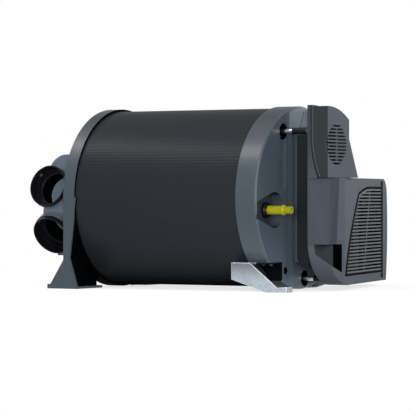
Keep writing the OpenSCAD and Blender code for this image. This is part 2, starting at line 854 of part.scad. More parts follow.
// Recess in the lower front corner, with a floor that falls to the face and a vertical edge inside it
module corner_recess(grow) {
    depth = [15, 31, 46];
    reach = 200;
    deep = 12;
    shelf = 7;
    inner_y = [grow - 10, grow - 28];
    left_x = house_x + deep;
    along = atan((depth[1] - depth[0]) / (end_x - left_x));
    across = atan(cos(along) * (depth[2] - depth[1]) / (house_front - 10));
    z = [-house_base, grow - recess_top];
    out = [end_x + 1, -house_front - 2];
    intersection() {
        union() {
            block([end_x - shelf - grow, out.x], [out.y, inner_y[0]], z);
            block([left_x - grow, out.x], [out.y, inner_y[1]], z);
        }
        translate([left_x, -house_front, -recess_top - depth[0] - grow]) rotate([-across, along, 0])
            block([-reach, reach], [-reach, reach], [0, reach]);
    }
}

// Frame of the turned intake face: X out of the face, Y along it
module at_face() {
    translate([end_x, 0, 0]) rotate([0, 0, face_turn]) children();
}

// Outline of the intake grille: slanted bowed left side, arched top, square right side
grille_base = 16 - house_base;
grille_head = fan_top - 15;
grille_left = [7, 96];
side_bow = 36;
arch_h = 10;
grille_right = fan_reach - 33;

function grille_side(t, inset) =
    [grille_left[0] + inset + (grille_left[1] - grille_left[0]) * t - side_bow * t * (1 - t),
     grille_base + inset + (grille_head - arch_h - grille_base - 2 * inset) * t];

module grille_outline(inset) {
    shoulder = grille_side(1, inset);
    arch = 72;
    polygon([
        for (i = [0:8]) grille_side(i / 8, inset),
        for (i = [1:6]) [shoulder.x + arch * i / 6, shoulder.y + arch_h * sin(i * 15)],
        [grille_right - inset, grille_head - inset], [grille_right - inset, grille_base + inset]
    ]);
}

// Parting line between the upper frame and the electronics cover, seen from the front
frame_x = house_x + parting_at;
frame_end = frame_x + parting_r - sqrt(parting_r * parting_r - (parting_z - fan_top) * (parting_z - fan_top));

// What lies on the neck's side of the parting line, moved along the barrel by grow
module behind_parting(grow, r) {
    x = frame_x + grow;
    along_y([-house_front - eps, fan_bay_y]) {
        translate([0, parting_z]) square([x, box_top]);
        difference() {
            square([x + r, parting_z + eps]);
            translate([x + r, parting_z]) circle(r, $fn = 192);
        }
    }
}

// Moulded housing: front bay, upper frame, corner recess and fan box with the intake opening
module fan_housing() {
    clip = [[grille_right, grille_head + 2], [grille_right, grille_base - 11]];
    clip_w = 4;
    clip_h = 9;
    color("slategray") place() difference() {
        union() {
            difference() {
                house_form(0);
                house_form(house_wall, eps);
            }
            intersection() {
                house_form(0);
                corner_recess(house_wall);
            }
            intersection() {
                along_x([house_x, frame_end]) box_outline(0, fan_top - 1);
                behind_parting(0, parting_r + parting_spread);
            }
            at_face() along_x([-house_wall - ledge_t, eps - house_wall]) grille_outline(-grille_rim);
        }
        along_x([house_x - eps, frame_end + eps]) box_outline(house_wall, fan_top);
        along_x([house_x - eps, plate_x + fit]) box_outline(house_wall, fan_top - 2 * house_wall);
        corner_recess(0);
        at_face() {
            along_x([-grille_t, eps]) grille_outline(0);
            along_x([-house_wall - ledge_t - eps, eps]) grille_outline(grille_rim);
            for (at = clip)
                block([-house_wall - eps, eps], [at.x - clip_w / 2, at.x + clip_w / 2], [at.y, at.y + clip_h]);
        }
    }
}

module fan_box_back() {
    color([0.16, 0.17, 0.18]) place() intersection() {
        house_form(house_wall + fit, eps);
        block([fan_x, fan_x + back_t], [fan_bay_y, fan_reach], [-house_base, fan_top]);
    }
}

module intake_grille() {
    pitch = (grille_head - grille_base - 2 * grille_rim) / grille_rows;
    rib_low = 129;
    rib_high = 175;
    rib = 4;
    color([0.24, 0.25, 0.27]) place() at_face() difference() {
        along_x([-grille_t, 0]) grille_outline(grille_gap);
        along_x([-grille_t - eps, eps]) intersection() {
            grille_outline(grille_gap + grille_rim);
            difference() {
                for (i = [0:grille_rows - 1])
                    translate([0, grille_base + grille_rim + (i + 0.5 - slot_share / 2) * pitch])
                        square([grille_right, pitch * slot_share]);
                polygon([
                    [rib_low, grille_base], [rib_low + rib, grille_base],
                    [rib_high + rib, grille_head], [rib_high, grille_head]
                ]);
            }
        }
    }
}

// Width of the flat stretch at the cover's front top edge
box_flat = 5;

// Outline of the electronics cover: curved top, sloping lower rear side
module box_outline(inset, low_z) {
    r = box_curve - inset;
    rear = box_rear - inset;
    crown = [box_flat - house_front, box_top - box_curve];
    a = asin((rear - crown.x) / r);
    polygon([
        [inset - house_front, low_z], [rear + box_flare, low_z], [rear, box_top - box_straight],
        for (i = [8:-1:0]) crown + r * [sin(a * i / 8), cos(a * i / 8)],
        [inset - house_front, box_top - inset]
    ]);
}

// Sheet that closes the housing's back, with a folded front edge under the upper pin
// and openings for the fan motor and the blown air
module carrier_plate() {
    w = house_wall + fit;
    fold_x = house_x - fold_w;
    fold_y = w - house_front;
    fold_z = [30 - house_base, upper_pin.y - sleeve_d / 2 - 2];
    corner_z = corner_r + 5 - house_base;
    fold_cut = [8, 15];
    color([0.3, 0.31, 0.33]) place() difference() {
        union() {
            intersection() {
                house_form(w, eps);
                block([house_x, plate_x], [-house_front, bay_y], [-house_base, fan_top]);
            }
            along_x([house_x, plate_x]) box_outline(w, fan_top - 2 * w);
            along_y([fold_y, fold_y + plate_t]) polygon([
                [fold_x, fold_z[1]], [plate_x, fold_z[1]], [plate_x, corner_z], [house_x - fit, corner_z],
                [house_x - fit, fold_z[0]], [fold_x + fold_cut.x, fold_z[0]], [fold_x, fold_z[0] + fold_cut.y]
            ]);
        }
        bar_x(comb_motor_r + fit, [house_x - eps, plate_x + eps], comb_at);
        block([house_x - eps, plate_x + eps], air_y, air_z);
    }
}

// Cover with a raised rim along the parting line and a round slotted vent
module electronics_cover() {
    low_z = fan_top + fit;
    wall = flange_w + house_wall;
    rim = parting_gap + flange_t;
    rib = 3;
    pitch = vent_d / vent_rows;
    color("slategray") place() difference() {
        union() {
            along_x([frame_x, end_x]) box_outline(flange_w, low_z);
            intersection() {
                along_x([frame_x, end_x]) box_outline(0, low_z);
                behind_parting(rim, parting_r);
            }
        }
        behind_parting(parting_gap, parting_r);
        along_x([house_x, end_x - house_wall]) box_outline(wall, low_z + house_wall);
        along_x([end_x - house_wall - eps, end_x + eps]) translate(vent_at) intersection() {
            circle(vent_d / 2);
            difference() {
                for (i = [0:vent_rows - 1])
                    translate([-vent_d / 2, (i - vent_rows / 2 + 0.25) * pitch]) square([vent_d, pitch / 2]);
                translate([-rib / 2, pitch - vent_d / 2]) square([rib, vent_d - 2 * pitch]);
            }
        }
    }
}

// Board on four posts, with two relays, a plug strip and two capacitors
module control_board() {
    board = [46, 80];
    corner = [10 - house_front, fan_top + 10];
    board_t = 1.6;
    post = [2.5, 4];
    post_in = 5;
    back = plate_x + post[1];
    front = back + board_t;
    relay = [18, 12, 11];
    strip = [35, 13, 7];
    can = [4, 12];
    strip_top = board.y - post_in;
    color("darkgreen") place() translate([0, corner.x, corner.y]) {
        block([back, front], [0, board.x], [0, board.y]);
        for (y = [post_in, board.x - post_in], z = [post_in, board.y - post_in])
            bar_x(post[0], [plate_x, back], [y, z]);
        for (y = [post_in, post_in + relay[0] + post_in])
            block([front, front + relay[2]], [y, y + relay[1]], [2 * post_in, 2 * post_in + relay[0]]);
        block([front, front + strip[2]], [post_in, post_in + strip[0]], [strip_top - strip[1], strip_top]);
        for (i = [1, 2])
            bar_x(can[0], [front, front + can[1]], [board.x / 2, board.y / 2 + (i - 1) * 3 * can[0]]);
    }
}

// Fans

motor_x = fan_x + back_t;
circ_motor_len = 20;
circ_shaft_r = 3;

module circulation_motor() {
    color("dimgray") place() difference() {
        bar_x(circ_motor_r, [motor_x, motor_x + circ_motor_len], circ_at);
        bar_x(circ_shaft_r + shaft_fit, [motor_x + 4, motor_x + circ_motor_len + eps], circ_at);
    }
}

circ_hub_x = motor_x + circ_motor_len + 2;
circ_hub_len = 4;

module circulation_shaft() {
    color("gainsboro") place()
        bar_x(circ_shaft_r, [motor_x + 5, circ_hub_x + circ_hub_len], circ_at);
}

// Cup-shaped impeller that turns round its motor, drawing air in from the grille side
module circulation_impeller() {
    back_x = motor_x + 5;
    depth = 26;
    front_x = back_x + depth;
    disc_t = 2;
    cup_r = circ_motor_r + 5;
    ring_w = 12;
    blade = [11, 1.2];
    blade_lean = 35;
    face_x = circ_hub_x + circ_hub_len;
    color([0.12, 0.12, 0.13]) place() difference() {
        union() {
            turn_x(circ_at) polygon([
                [cup_r - disc_t, back_x], [circ_r, back_x], [circ_r, back_x + disc_t], [cup_r, back_x + disc_t],
                [cup_r - 3, circ_hub_x + disc_t], [cup_r - 6, face_x], [0, face_x],
                [0, circ_hub_x], [cup_r - 4, circ_hub_x]
            ]);
            turn_x(circ_at) polygon([
                [circ_r - ring_w, front_x], [circ_r, front_x],
                [circ_r, front_x + disc_t], [circ_r - ring_w, front_x + disc_t]
            ]);
            translate([0, circ_at.x, circ_at.y]) for (i = [0:circ_blades - 1])
                rotate([i * 360 / circ_blades, 0, 0]) translate([back_x + disc_t / 2, circ_r - 7, 0])
                    rotate([blade_lean, 0, 0]) translate([0, -blade[0] / 2, -blade[1] / 2])
                        cube([depth, blade[0], blade[1]]);
        }
        bar_x(circ_shaft_r, [0, face_x], circ_at);
    }
}

comb_case_r = comb_r + 4;
comb_wall = 2;
comb_run = 1.5;
comb_shaft_r = 2;
comb_hub = [comb_x + comb_wall + comb_run, comb_end - comb_wall - comb_run];
// The motor ends short of the turned intake face
comb_motor_x = end_x - house_wall / cos(face_turn) - (comb_at.x + comb_motor_r) * tan(face_turn) - 2;

// Turns and places what is drawn round the combustion fan's axis
module at_comb(turn = 0) {
    translate([0, comb_at.x, comb_at.y]) rotate([turn, 0, 0]) children();
}

// Case in the neck's end, open to the burner and round its rim
module combustion_fan_case() {
    slots = 12;
    slot_x = [comb_end - comb_wall - 8, comb_end - comb_wall - 2];
    slot_w = 10;
    color([0.16, 0.17, 0.18]) place() difference() {
        bar_x(comb_case_r, [comb_x, comb_end], comb_at);
        bar_x(comb_case_r - comb_wall, [comb_x + comb_wall, comb_end - comb_wall], comb_at);
        bar_x(mix_bore_r, [comb_x - eps, comb_x + comb_wall + eps]);
        bar_x(comb_shaft_r + 1, [comb_end - comb_wall - eps, comb_end + eps], comb_at);
        for (i = [0:slots - 1])
            at_comb(i * 360 / slots)
                block(slot_x, [comb_r, comb_case_r + eps], [-slot_w / 2, slot_w / 2]);
    }
}

module combustion_motor() {
    color("dimgray") place() difference() {
        bar_x(comb_motor_r, [comb_end, comb_motor_x], comb_at);
        bar_x(comb_shaft_r + shaft_fit, [comb_end - eps, comb_motor_x - 3], comb_at);
    }
}

module combustion_shaft() {
    color("gainsboro") place() bar_x(comb_shaft_r, [comb_hub[0], comb_motor_x - 4], comb_at);
}

module combustion_impeller() {
    hub_r = 6;
    disc_t = 2;
    blade_len = 17;
    blade_t = 1.2;
    blade_lean = 25;
    color([0.12, 0.12, 0.13]) place() difference() {
        union() {
            bar_x(hub_r, comb_hub, comb_at);
            bar_x(comb_r, [comb_hub[1] - disc_t, comb_hub[1]], comb_at);
            for (i = [0:comb_blades - 1])
                at_comb(i * 360 / comb_blades) translate([comb_hub[0], comb_r - 12, 0])
                    rotate([blade_lean, 0, 0]) translate([0, -7, -blade_t / 2])
                        cube([comb_hub[1] - comb_hub[0] - 1, blade_len, blade_t]);
        }
        bar_x(comb_shaft_r, [comb_hub[0] - eps, comb_hub[1] + eps], comb_at);
    }
}

// Gas

valve_y = [neck_top_rear - house_wall - 30, neck_top_rear - house_wall];
gas_seat_y = valve_y[1] - 11;
nut_len = 9;
gas_free_y = neck_top_rear + nut_len + 1;

// Valve block with its two coils
module gas_valve() {
    half_x = 9;
    half_z = 12;
    coil_r = 6;
    coil_h = 16;
    color("goldenrod") place() difference() {
        union() {
            block([gas_at.x - half_x, gas_at.x + half_x], valve_y, [gas_at.y - half_z, gas_at.y + half_z]);
            for (y = [valve_y[0] + 8, valve_y[1] - 8])
                translate([gas_at.x, y, gas_at.y + half_z]) cylinder(r = coil_r, h = coil_h);
        }
        bar_y(gas_pipe_r + 0.1, [gas_seat_y - 1, valve_y[1] + eps], gas_at);
    }
}

module gas_inlet() {
    wall = 1;
    end_y = gas_free_y + gas_free;
    color("silver") place() difference() {
        union() {
            bar_y(gas_pipe_r, [gas_seat_y, gas_free_y], gas_at);
            bar_y(gas_d / 2, [gas_free_y, end_y], gas_at);
        }
        bar_y(gas_pipe_r - wall, [gas_seat_y - eps, end_y + eps], gas_at);
    }
}

module gas_nut() {
    nut_r = gas_d / 2 + 6;
    color("goldenrod") place() difference() {
        translate([gas_at.x, neck_top_rear, gas_at.y])
            rotate([-90, 0, 0]) cylinder(r = nut_r, h = nut_len, $fn = 6);
        bar_y(gas_pipe_r + 0.1, [neck_top_rear - eps, gas_free_y], gas_at);
    }
}

// Foot brackets

// Sheet bracket: slanted plate, seat flange under the end cover and foot flange on the floor
module foot_bracket() {
    seat = [-notch_drop - sheet_t, -notch_drop];
    left = -bracket_left;
    plate_low = 20;
    foot_x = bracket_reach / 2 + 3;
    hook = 9;
    hook_len = 18;
    toe = bracket_reach - 2;
    strap_w = 8;
    strap_y = -barrel_r * cos(asin(notch_drop / barrel_r)) - 2;
    flange_in = 22;
    hole_in = 12;
    flange_y = [-bracket_y, flange_in - bracket_y];
    color("lightgray") difference() {
        union() {
            along_y([-bracket_y, sheet_t - bracket_y]) polygon([
                [left, seat[0]], [left + bracket_top, seat[1]], [bracket_reach - hook_len, hook - 1 - axis_h],
                [bracket_reach, hook - axis_h], [toe, -axis_h], [foot_x, -axis_h], [left, plate_low - axis_h]
            ]);
            block([left, 0], [-bracket_y, strap_y], seat);
            block([left, seat_x[1]], [strap_y - strap_w, strap_y], seat);
            block(seat_x, [strap_y - strap_w, -notch_in - 4], seat);
            block([foot_x, toe], flange_y, [-axis_h, sheet_t - axis_h]);
            block([toe - sheet_t, toe], flange_y, [-axis_h, hook - axis_h]);
        }
        for (x = bracket_screw_x)
            translate([x, -bracket_screw_y, seat[0] - eps]) cylinder(r = screw_r + fit, h = sheet_t + 2 * eps);
        translate([(foot_x + toe) / 2, hole_in - bracket_y, -axis_h - eps])
            cylinder(r = foot_hole_r, h = sheet_t + 2 * eps);
    }
}

// The rear bracket is the same stamping turned end for end
module turned_bracket() {
    translate([2 * seat_mid, 0, 0]) rotate([0, 0, 180]) children();
}

module front_foot_bracket() { place() foot_bracket(); }
module rear_foot_bracket() { place() turned_bracket() foot_bracket(); }

module bracket_screws() {
    head_z = -notch_drop - sheet_t;
    head_h = 3;
    color("gainsboro") place() for (side = [-1, 1], x = bracket_screw_x)
        translate([x, side * bracket_screw_y, head_z]) {
            translate([0, 0, -head_h]) cylinder(r = screw_r + 2, h = head_h);
            cylinder(r = screw_r, h = sheet_t + screw_len);
        }
}

duct_cap();
front_upper_outlet();
front_lower_outlet();
rear_upper_outlet();
rear_lower_outlet();
barrel_jacket();
insulation();
water_tank();
heat_exchanger();
burner();
exhaust_pipe();
flue_socket();
end_cover();
hot_water_fitting();
fitting_collar();
cold_water_fitting();
water_sensor();
tie_pins();
pin_sleeves();
neck_duct();
carrier_plate();
fan_housing();
fan_box_back();
intake_grille();
electronics_cover();
control_board();
circulation_motor();
circulation_shaft();
circulation_impeller();
combustion_fan_case();
combustion_motor();
combustion_shaft();
combustion_impeller();
gas_valve();
gas_inlet();
gas_nut();
front_foot_bracket();
rear_foot_bracket();
bracket_screws();
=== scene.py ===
"""Looks of a warm-air and water heater for a caravan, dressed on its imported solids."""
import json
import math

import bmesh
import bpy
from bpy.props import FloatProperty, FloatVectorProperty, IntProperty, PointerProperty
from mathutils import Matrix, Vector


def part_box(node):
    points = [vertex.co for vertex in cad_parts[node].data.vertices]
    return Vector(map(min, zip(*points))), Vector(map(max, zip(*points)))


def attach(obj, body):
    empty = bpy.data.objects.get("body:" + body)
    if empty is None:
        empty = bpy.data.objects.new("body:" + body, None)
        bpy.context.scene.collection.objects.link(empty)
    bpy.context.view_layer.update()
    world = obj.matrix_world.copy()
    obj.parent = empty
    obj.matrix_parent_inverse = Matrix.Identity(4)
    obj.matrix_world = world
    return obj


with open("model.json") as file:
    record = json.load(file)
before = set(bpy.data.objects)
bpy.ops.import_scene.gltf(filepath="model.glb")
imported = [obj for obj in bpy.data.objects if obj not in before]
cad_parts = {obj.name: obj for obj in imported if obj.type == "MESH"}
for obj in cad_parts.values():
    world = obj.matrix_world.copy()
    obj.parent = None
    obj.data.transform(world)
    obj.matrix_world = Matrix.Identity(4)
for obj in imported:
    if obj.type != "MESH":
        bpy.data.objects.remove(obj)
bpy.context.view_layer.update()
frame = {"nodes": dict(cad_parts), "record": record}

bl_info = {
    "name": "Caravan heater",
    "version": (1, 0, 0),
    "blender": (4, 5, 0),
    "location": "View3D > Sidebar > Heater",
    "description": "Dresses the solids of a warm-air and water heater and sets its studio",
    "category": "Object",
}

NODES = frame["nodes"]
BODY = "heater"

# Places read from the solids
JACKET_LOW, JACKET_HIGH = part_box("barrel_jacket")
COVER_LOW, COVER_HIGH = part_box("end_cover")
HOUSE_LOW, HOUSE_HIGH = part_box("fan_housing")
BARREL_R = (JACKET_HIGH.z - JACKET_LOW.z) / 2
AXIS = Vector((0, (JACKET_LOW.y + JACKET_HIGH.y) / 2, (JACKET_LOW.z + JACKET_HIGH.z) / 2))
CAP_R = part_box("duct_cap")[1].z - AXIS.z
BAND_LEFT = min(v.co.x for v in NODES["duct_cap"].data.vertices if v.co.z > AXIS.z + CAP_R - 0.001)

# The cap's plenum: the height of its feet's tops, its middle and half of its inner width
FEET_TOP = AXIS.z - 0.102
PLENUM_MIDDLE = Vector((BAND_LEFT - 0.022, AXIS.y, AXIS.z - 0.012))
PLENUM_HALF = 0.098

# Directions, for the masks
RIGHT = (1, 0, 0)
REAR = (0, 1, 0)
FRONT = (0, -1, 0)
UP = (0, 0, 1)
DOWN = (0, 0, -1)

# Radii of the tie pins' holes and of the cap's bores behind the outlets
PIN_HOLE_R = 0.0136
BORE_R = 0.0294

# Factor of a colour deep in a hollow, darkened there as painted shade
HOLLOW_SHADE = 0.03

# Bores for the warm-air ducts and the cold water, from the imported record
MOUNTS = {mount["name"]: mount for mount in frame["record"]["mounts"]}
DUCTS = [mount for name, mount in MOUNTS.items() if name.endswith("_duct")]
COLD_WATER = MOUNTS["cold_water"]

# Middles and radii of the end cover's holes: the upper and lower tie pin, and the cold water
PIN_POINTS = [v.co for v in NODES["tie_pins"].data.vertices]
PIN_GROUPS = ([p for p in PIN_POINTS if p.z > AXIS.z], [p for p in PIN_POINTS if p.z < AXIS.z])
COVER_HOLES = [(sum(group, Vector()) / len(group), PIN_HOLE_R) for group in PIN_GROUPS]
COVER_HOLES.append((Vector(COLD_WATER["pos_m"]), COLD_WATER["dims"]["r_mm"] / 1000 + 0.0003))

# Plane of the turned intake face, found from the grille that lies flush in it
FACE_TURN = math.radians(14)
FACE_OUT = Vector((math.cos(FACE_TURN), math.sin(FACE_TURN), 0))
FACE_ALONG = Vector((-FACE_OUT.y, FACE_OUT.x, 0))
FACE_AT = max(FACE_OUT.dot(v.co) for v in NODES["intake_grille"].data.vertices)

# Heading of the photo's camera and the way that lies to its right
HEADING = math.radians(31.09)
VIEW_RIGHT = Vector((math.cos(HEADING), math.sin(HEADING), 0))

# Place along that way past which the plenum's far wall, seen through the outlets, is lightened as painted
# light
WALL_SHOWS = -0.303

# Lamps: name, place from the barrel's middle and size
LAMPS = (
    ("key", (-1.1, -0.95, 1.75), (2.4, 0.25)),
    ("front", (1.1, -1.85, 0.13), (1.8, 0.5)),
    ("side", (2.2, -0.35, 0.7), (1.0, 1.0)),
    ("back", (0.1, 2.1, 0.6), (1.0, 0.8)),
)

# Which solids take which finish
WEARERS = {
    "cap_moulding": ["duct_cap"],
    "housing_moulding": ["fan_housing"],
    "grey_moulding": ["electronics_cover"],
    "slat_moulding": ["intake_grille"],
    "ring_moulding": ["end_cover"],
    "black_moulding": [
        "front_upper_outlet", "front_lower_outlet", "rear_upper_outlet", "rear_lower_outlet",
        "fitting_collar", "cold_water_fitting", "pin_sleeves", "circulation_impeller", "combustion_impeller",
    ],
    "dark_moulding": ["flue_socket", "combustion_fan_case", "fan_box_back"],
    "neck_moulding": ["neck_duct"],
    "painted_sheet": ["carrier_plate"],
    "jacket": ["barrel_jacket"],
    "insulation": ["insulation"],
    "stainless": ["exhaust_pipe", "burner"],
    "tank": ["water_tank"],
    "cast_alloy": ["heat_exchanger", "gas_valve"],
    "galvanised": ["front_foot_bracket", "rear_foot_bracket"],
    "dark_screw": ["bracket_screws"],
    "steel_pin": ["tie_pins", "circulation_shaft", "combustion_shaft", "gas_inlet"],
    "brass": ["gas_nut", "water_sensor"],
    "yellow_plastic": ["hot_water_fitting"],
    "board": ["control_board"],
    "motor": ["circulation_motor", "combustion_motor"],
}


class Wire:
    """A node's output that takes part in sums, so that 1 - mask adds a Math node."""

    def __init__(self, nodes, socket):
        self.nodes = nodes
        self.socket = socket

    def _sum(self, operation, first, second):
        return self.nodes.node("ShaderNodeMath", {"operation": operation}, {0: first, 1: second})

    def __add__(self, other):
        return self._sum("ADD", self, other)

    def __sub__(self, other):
        return self._sum("SUBTRACT", self, other)

    def __rsub__(self, other):
        return self._sum("SUBTRACT", other, self)

    def __mul__(self, other):
        return self._sum("MULTIPLY", self, other)

    def __pow__(self, other):
        return self._sum("POWER", self, other)

    __radd__ = __add__
    __rmul__ = __mul__


class Nodes:
    """A tree of nodes, and the one method that adds to it."""

    def __init__(self, tree):
        self.tree = tree

    def feed(self, socket, value):
        """Links a wire to a socket, or sets the socket's own value."""
        if isinstance(value, Wire):
            self.tree.links.new(value.socket, socket)
        else:
            socket.default_value = value

    def node(self, kind, settings, inputs, output=0):
        """Adds any node: its settings first, then the values or wires of its sockets."""
        made = self.tree.nodes.new(kind)
        for key, value in settings.items():
            setattr(made, key, value)
        for key, value in inputs.items():
            self.feed(made.inputs[key], value)
        return Wire(self, made.outputs[output])


class Finish(Nodes):
    """One procedural material and the nodes that it is made of."""

    def __init__(self, name, **constants):
        self.material = bpy.data.materials.new(name)
        self.material.use_nodes = True
        super().__init__(self.material.node_tree)
        self.shader = self.tree.nodes["Principled BSDF"]
        self.place = self.node("ShaderNodeTexCoord", {}, {}, "Object")
        self.normal = self.node("ShaderNodeTexCoord", {}, {}, "Normal")
        self.wear(**constants)

    def vector(self, operation, first, second, output=0):
        """Adds a Vector Math node."""
        return self.node("ShaderNodeVectorMath", {"operation": operation}, {0: first, 1: second}, output)

    def dot(self, first, second):
        """Dot product of two vectors."""
        return self.vector("DOT_PRODUCT", first, second, "Value")

    def length(self, value):
        """Length of a vector."""
        return self.node("ShaderNodeVectorMath", {"operation": "LENGTH"}, {0: value}, "Value")

    def noise(self, scale, detail=2.0, stretch=None):
        """Noise of that many patches a metre, between 0 and 1, drawn out along an axis by stretch."""
        place = self.place
        if stretch:
            place = self.node("ShaderNodeMapping", {}, {"Vector": place, "Scale": stretch})
        return self.node("ShaderNodeTexNoise", {}, {"Vector": place, "Scale": scale, "Detail": detail}, "Fac")

    def between(self, mask, low, high):
        """Takes a mask from low to high."""
        return mask * (high - low) + low

    def blend(self, mask, first, second):
        """Mixes two colours by a mask."""
        return self.node(
            "ShaderNodeMix", {"data_type": "RGBA"}, {"Factor": mask, 6: first, 7: second}, 2
        )

    def edges(self, radius):
        """Rounded normal, and a mask of the edges that it rounds."""
        rounded = self.node("ShaderNodeBevel", {"samples": 6}, {"Radius": radius})
        plain = self.node("ShaderNodeNewGeometry", {}, {}, "Normal")
        return rounded, 1 - self.dot(rounded, plain)

    def along(self, direction):
        """Place of the surface along a direction, in metres from the origin."""
        return self.dot(self.place, direction)

    def from_line(self, point, direction):
        """Distance of the surface from a line through a point."""
        off = self.vector("SUBTRACT", self.place, point)
        return self.length(self.vector("CROSS_PRODUCT", off, direction))

    def facing(self, direction):
        """How squarely the surface faces a direction, up to 1."""
        return self.dot(self.normal, direction)

    def past(self, value, limit, width):
        """Mask that rises smoothly from 0 to 1 where a value passes a limit."""
        return self.node(
            "ShaderNodeMapRange", {"interpolation_type": "SMOOTHSTEP"},
            {"Value": value, "From Min": limit - width / 2, "From Max": limit + width / 2},
        )

    def looking(self, direction):
        """Mask of the faces that look along a direction."""
        return self.past(self.facing(direction), 0.9, 0.1)

    def below(self, height):
        """Mask of what lies below a height."""
        return 1 - self.past(self.along(UP), height, 0.001)

    def sunk(self, direction, limit):
        """Mask of the faces that look along a direction but lie short of a limit."""
        return self.looking(direction) * (1 - self.past(self.along(direction), limit, 0.0004))

    def bump(self, height, strength, distance, normal=None):
        """Bump from a height, laid over another normal if one is given."""
        inputs = {"Height": height, "Strength": strength, "Distance": distance}
        if normal:
            inputs["Normal"] = normal
        return self.node("ShaderNodeBump", {}, inputs)

    def wear(self, **values):
        """Feeds the shader's own sockets, which are named as in base_color."""
        for key, value in values.items():
            socket = key.replace("_", " ").title().replace("Ior", "IOR")
            self.feed(self.shader.inputs[socket], value)
        return self.material


def shade(colour, factor):
    """The colour made lighter or darker by a factor, with full alpha."""
    return tuple(min(1.0, c * factor) for c in colour) + (1.0,)


def coat_ior(gloss):
    """Index of refraction of a coat that reflects that share of 8 percent head on."""
    root = math.sqrt(0.08 * gloss)
    return (1 + root) / (1 - root)


def moulded(name, colour, roughness, edge=0.0008, grain=1800, relief=0.12, gloss=0.25, tints=()):
    """Moulded plastic: a fine spark-eroded grain, slow mottling, and lighter edges that are a painted
    highlight.

    tints pairs a function, which takes the finish and gives a mask, with the colour's factor there; most
    tints paint shade or light. The sheen is a coat, which places that a tint darkens lose with their colour."""
    finish = Finish(name, specular_ior_level=0.0, coat_ior=coat_ior(gloss), coat_roughness=roughness)
    rounded, edge_highlight = finish.edges(edge)
    mottle = finish.noise(22, 3)
    grains = finish.noise(grain, 1)
    body = finish.blend(mottle, shade(colour, 0.92), shade(colour, 1.08))
    # Painted highlight: the edges are lightened as if they catch the light.
    coat = finish.blend(edge_highlight * 1.8, body, shade(colour, 1.8))
    sheen = finish.between(mottle, 0.9, 1.0)
    # Tints, most of them painted shade or light, change the colour; where they darken, the coat's reflection
    # is cut as well.
    for mask, factor in tints:
        there = mask(finish)
        coat = finish.blend(there, coat, shade(colour, factor))
        if factor < 1:
            sheen = sheen * (1 - finish.past(there, 0.5, 1.0) * (1 - factor))
    rough = finish.between(mottle, roughness - 0.05, roughness + 0.05) + grains * 0.08
    return finish.wear(
        base_color=coat, roughness=rough, coat_weight=sheen,
        normal=finish.bump(grains, relief, 0.0003, rounded),
    )


def cap_plenum(finish):
    """The plenum behind the outlets, above the feet."""
    left = 1 - finish.past(finish.along(RIGHT), BAND_LEFT - 0.0005, 0.001)
    return left * finish.past(finish.along(UP), FEET_TOP, 0.001)


def plenum_inside(finish):
    """The inside of the plenum, whose walls face its middle, darkened as painted shade."""
    across = finish.along(REAR) - AXIS.y
    outward = finish.dot(finish.normal, finish.vector("SUBTRACT", finish.place, PLENUM_MIDDLE))
    near = 1 - finish.past((across * across) ** 0.5, PLENUM_HALF, 0.001)
    return cap_plenum(finish) * near * (1 - finish.past(outward, 0.0, 0.002))


def plenum_wall(finish):
    """The plenum's far wall, lightened as painted light where it shows through the front outlets."""
    far = finish.past(finish.facing(FRONT), 0.3, 0.2) * finish.past(finish.along(REAR), AXIS.y, 0.01)
    return far * finish.past(finish.along(VIEW_RIGHT), WALL_SHOWS, 0.004) * cap_plenum(finish)


def bore(finish, duct):
    """What lies in the cap's bore behind an outlet, on the outlet's own side."""
    axis = Vector(duct["axis"])
    side = Vector((0, math.copysign(1, axis.y), 0))
    starts = side.dot(AXIS) + 0.06
    within = 1 - finish.past(finish.from_line(duct["pos_m"], axis), BORE_R, 0.0004)
    return within * finish.past(finish.along(side), starts, 0.001)


def bore_walls(finish):
    """The walls of the bores, darkened as painted shade."""
    return sum(
        bore(finish, duct) * (1 - finish.past(finish.facing(duct["axis"]), 0.6, 0.2)) for duct in DUCTS
    )


def bore_floors(finish):
    """The floors of the bores, lightened as painted light."""
    return sum(bore(finish, duct) * finish.looking(duct["axis"]) for duct in DUCTS)


def cap_hollows(finish):
    """The cap's inner wall and soles beside the barrel, darkened as painted shade."""
    sole_top, wall, band_r = 0.01, JACKET_LOW.x + 0.001, CAP_R + 0.0008
    sole = finish.looking(UP) * finish.below(sole_top)
    within = 1 - finish.past(finish.from_line(AXIS, RIGHT), band_r, 0.0005)
    within = within * (1 - cap_plenum(finish))
    under = finish.past(finish.facing(DOWN), 0.1, 0.1) * within
    rim = finish.looking(RIGHT) * within
    return finish.sunk(RIGHT, wall) + sole + under + rim


def crown(finish):
    """The top of the ring or band, where the light grazes; painted shade darkens it there."""
    return finish.past(finish.facing(UP), 0.82, 0.3)


def cover_low(finish):
    """The lower part of the end cover, lightened as painted light."""
    return 1 - finish.past(finish.along(UP), AXIS.z - 0.07, 0.08)


def cover_underside(finish):
    """What faces the floor under the end cover, darkened as painted shade."""
    return finish.past(finish.facing(DOWN), 0.85, 0.2)


def cover_corner(finish):
    """The end cover's face beside the neck, lightened as painted light against the shade that the neck and
    the housing cast on it.
    """
    neck_side = AXIS.y - 0.046
    return finish.past(finish.along(REAR), neck_side, 0.03) * finish.looking(RIGHT)


def tank_foot(finish):
    """The tank's end where the foot notches show it, darkened as painted shade."""
    notch_top = AXIS.z - 0.09
    return finish.below(notch_top)


def foot_notch(finish):
    """The walls of the end cover's foot notches behind the brackets, darkened as painted shade."""
    wall, top = AXIS.y - 0.065, AXIS.z - 0.1
    return finish.sunk(FRONT, -wall) * finish.below(top)


def cover_pocket(finish):
    """Floor of the pocket round the water fitting, darkened as painted shade."""
    floor = COVER_HIGH.x - 0.012
    return finish.sunk(RIGHT, floor)


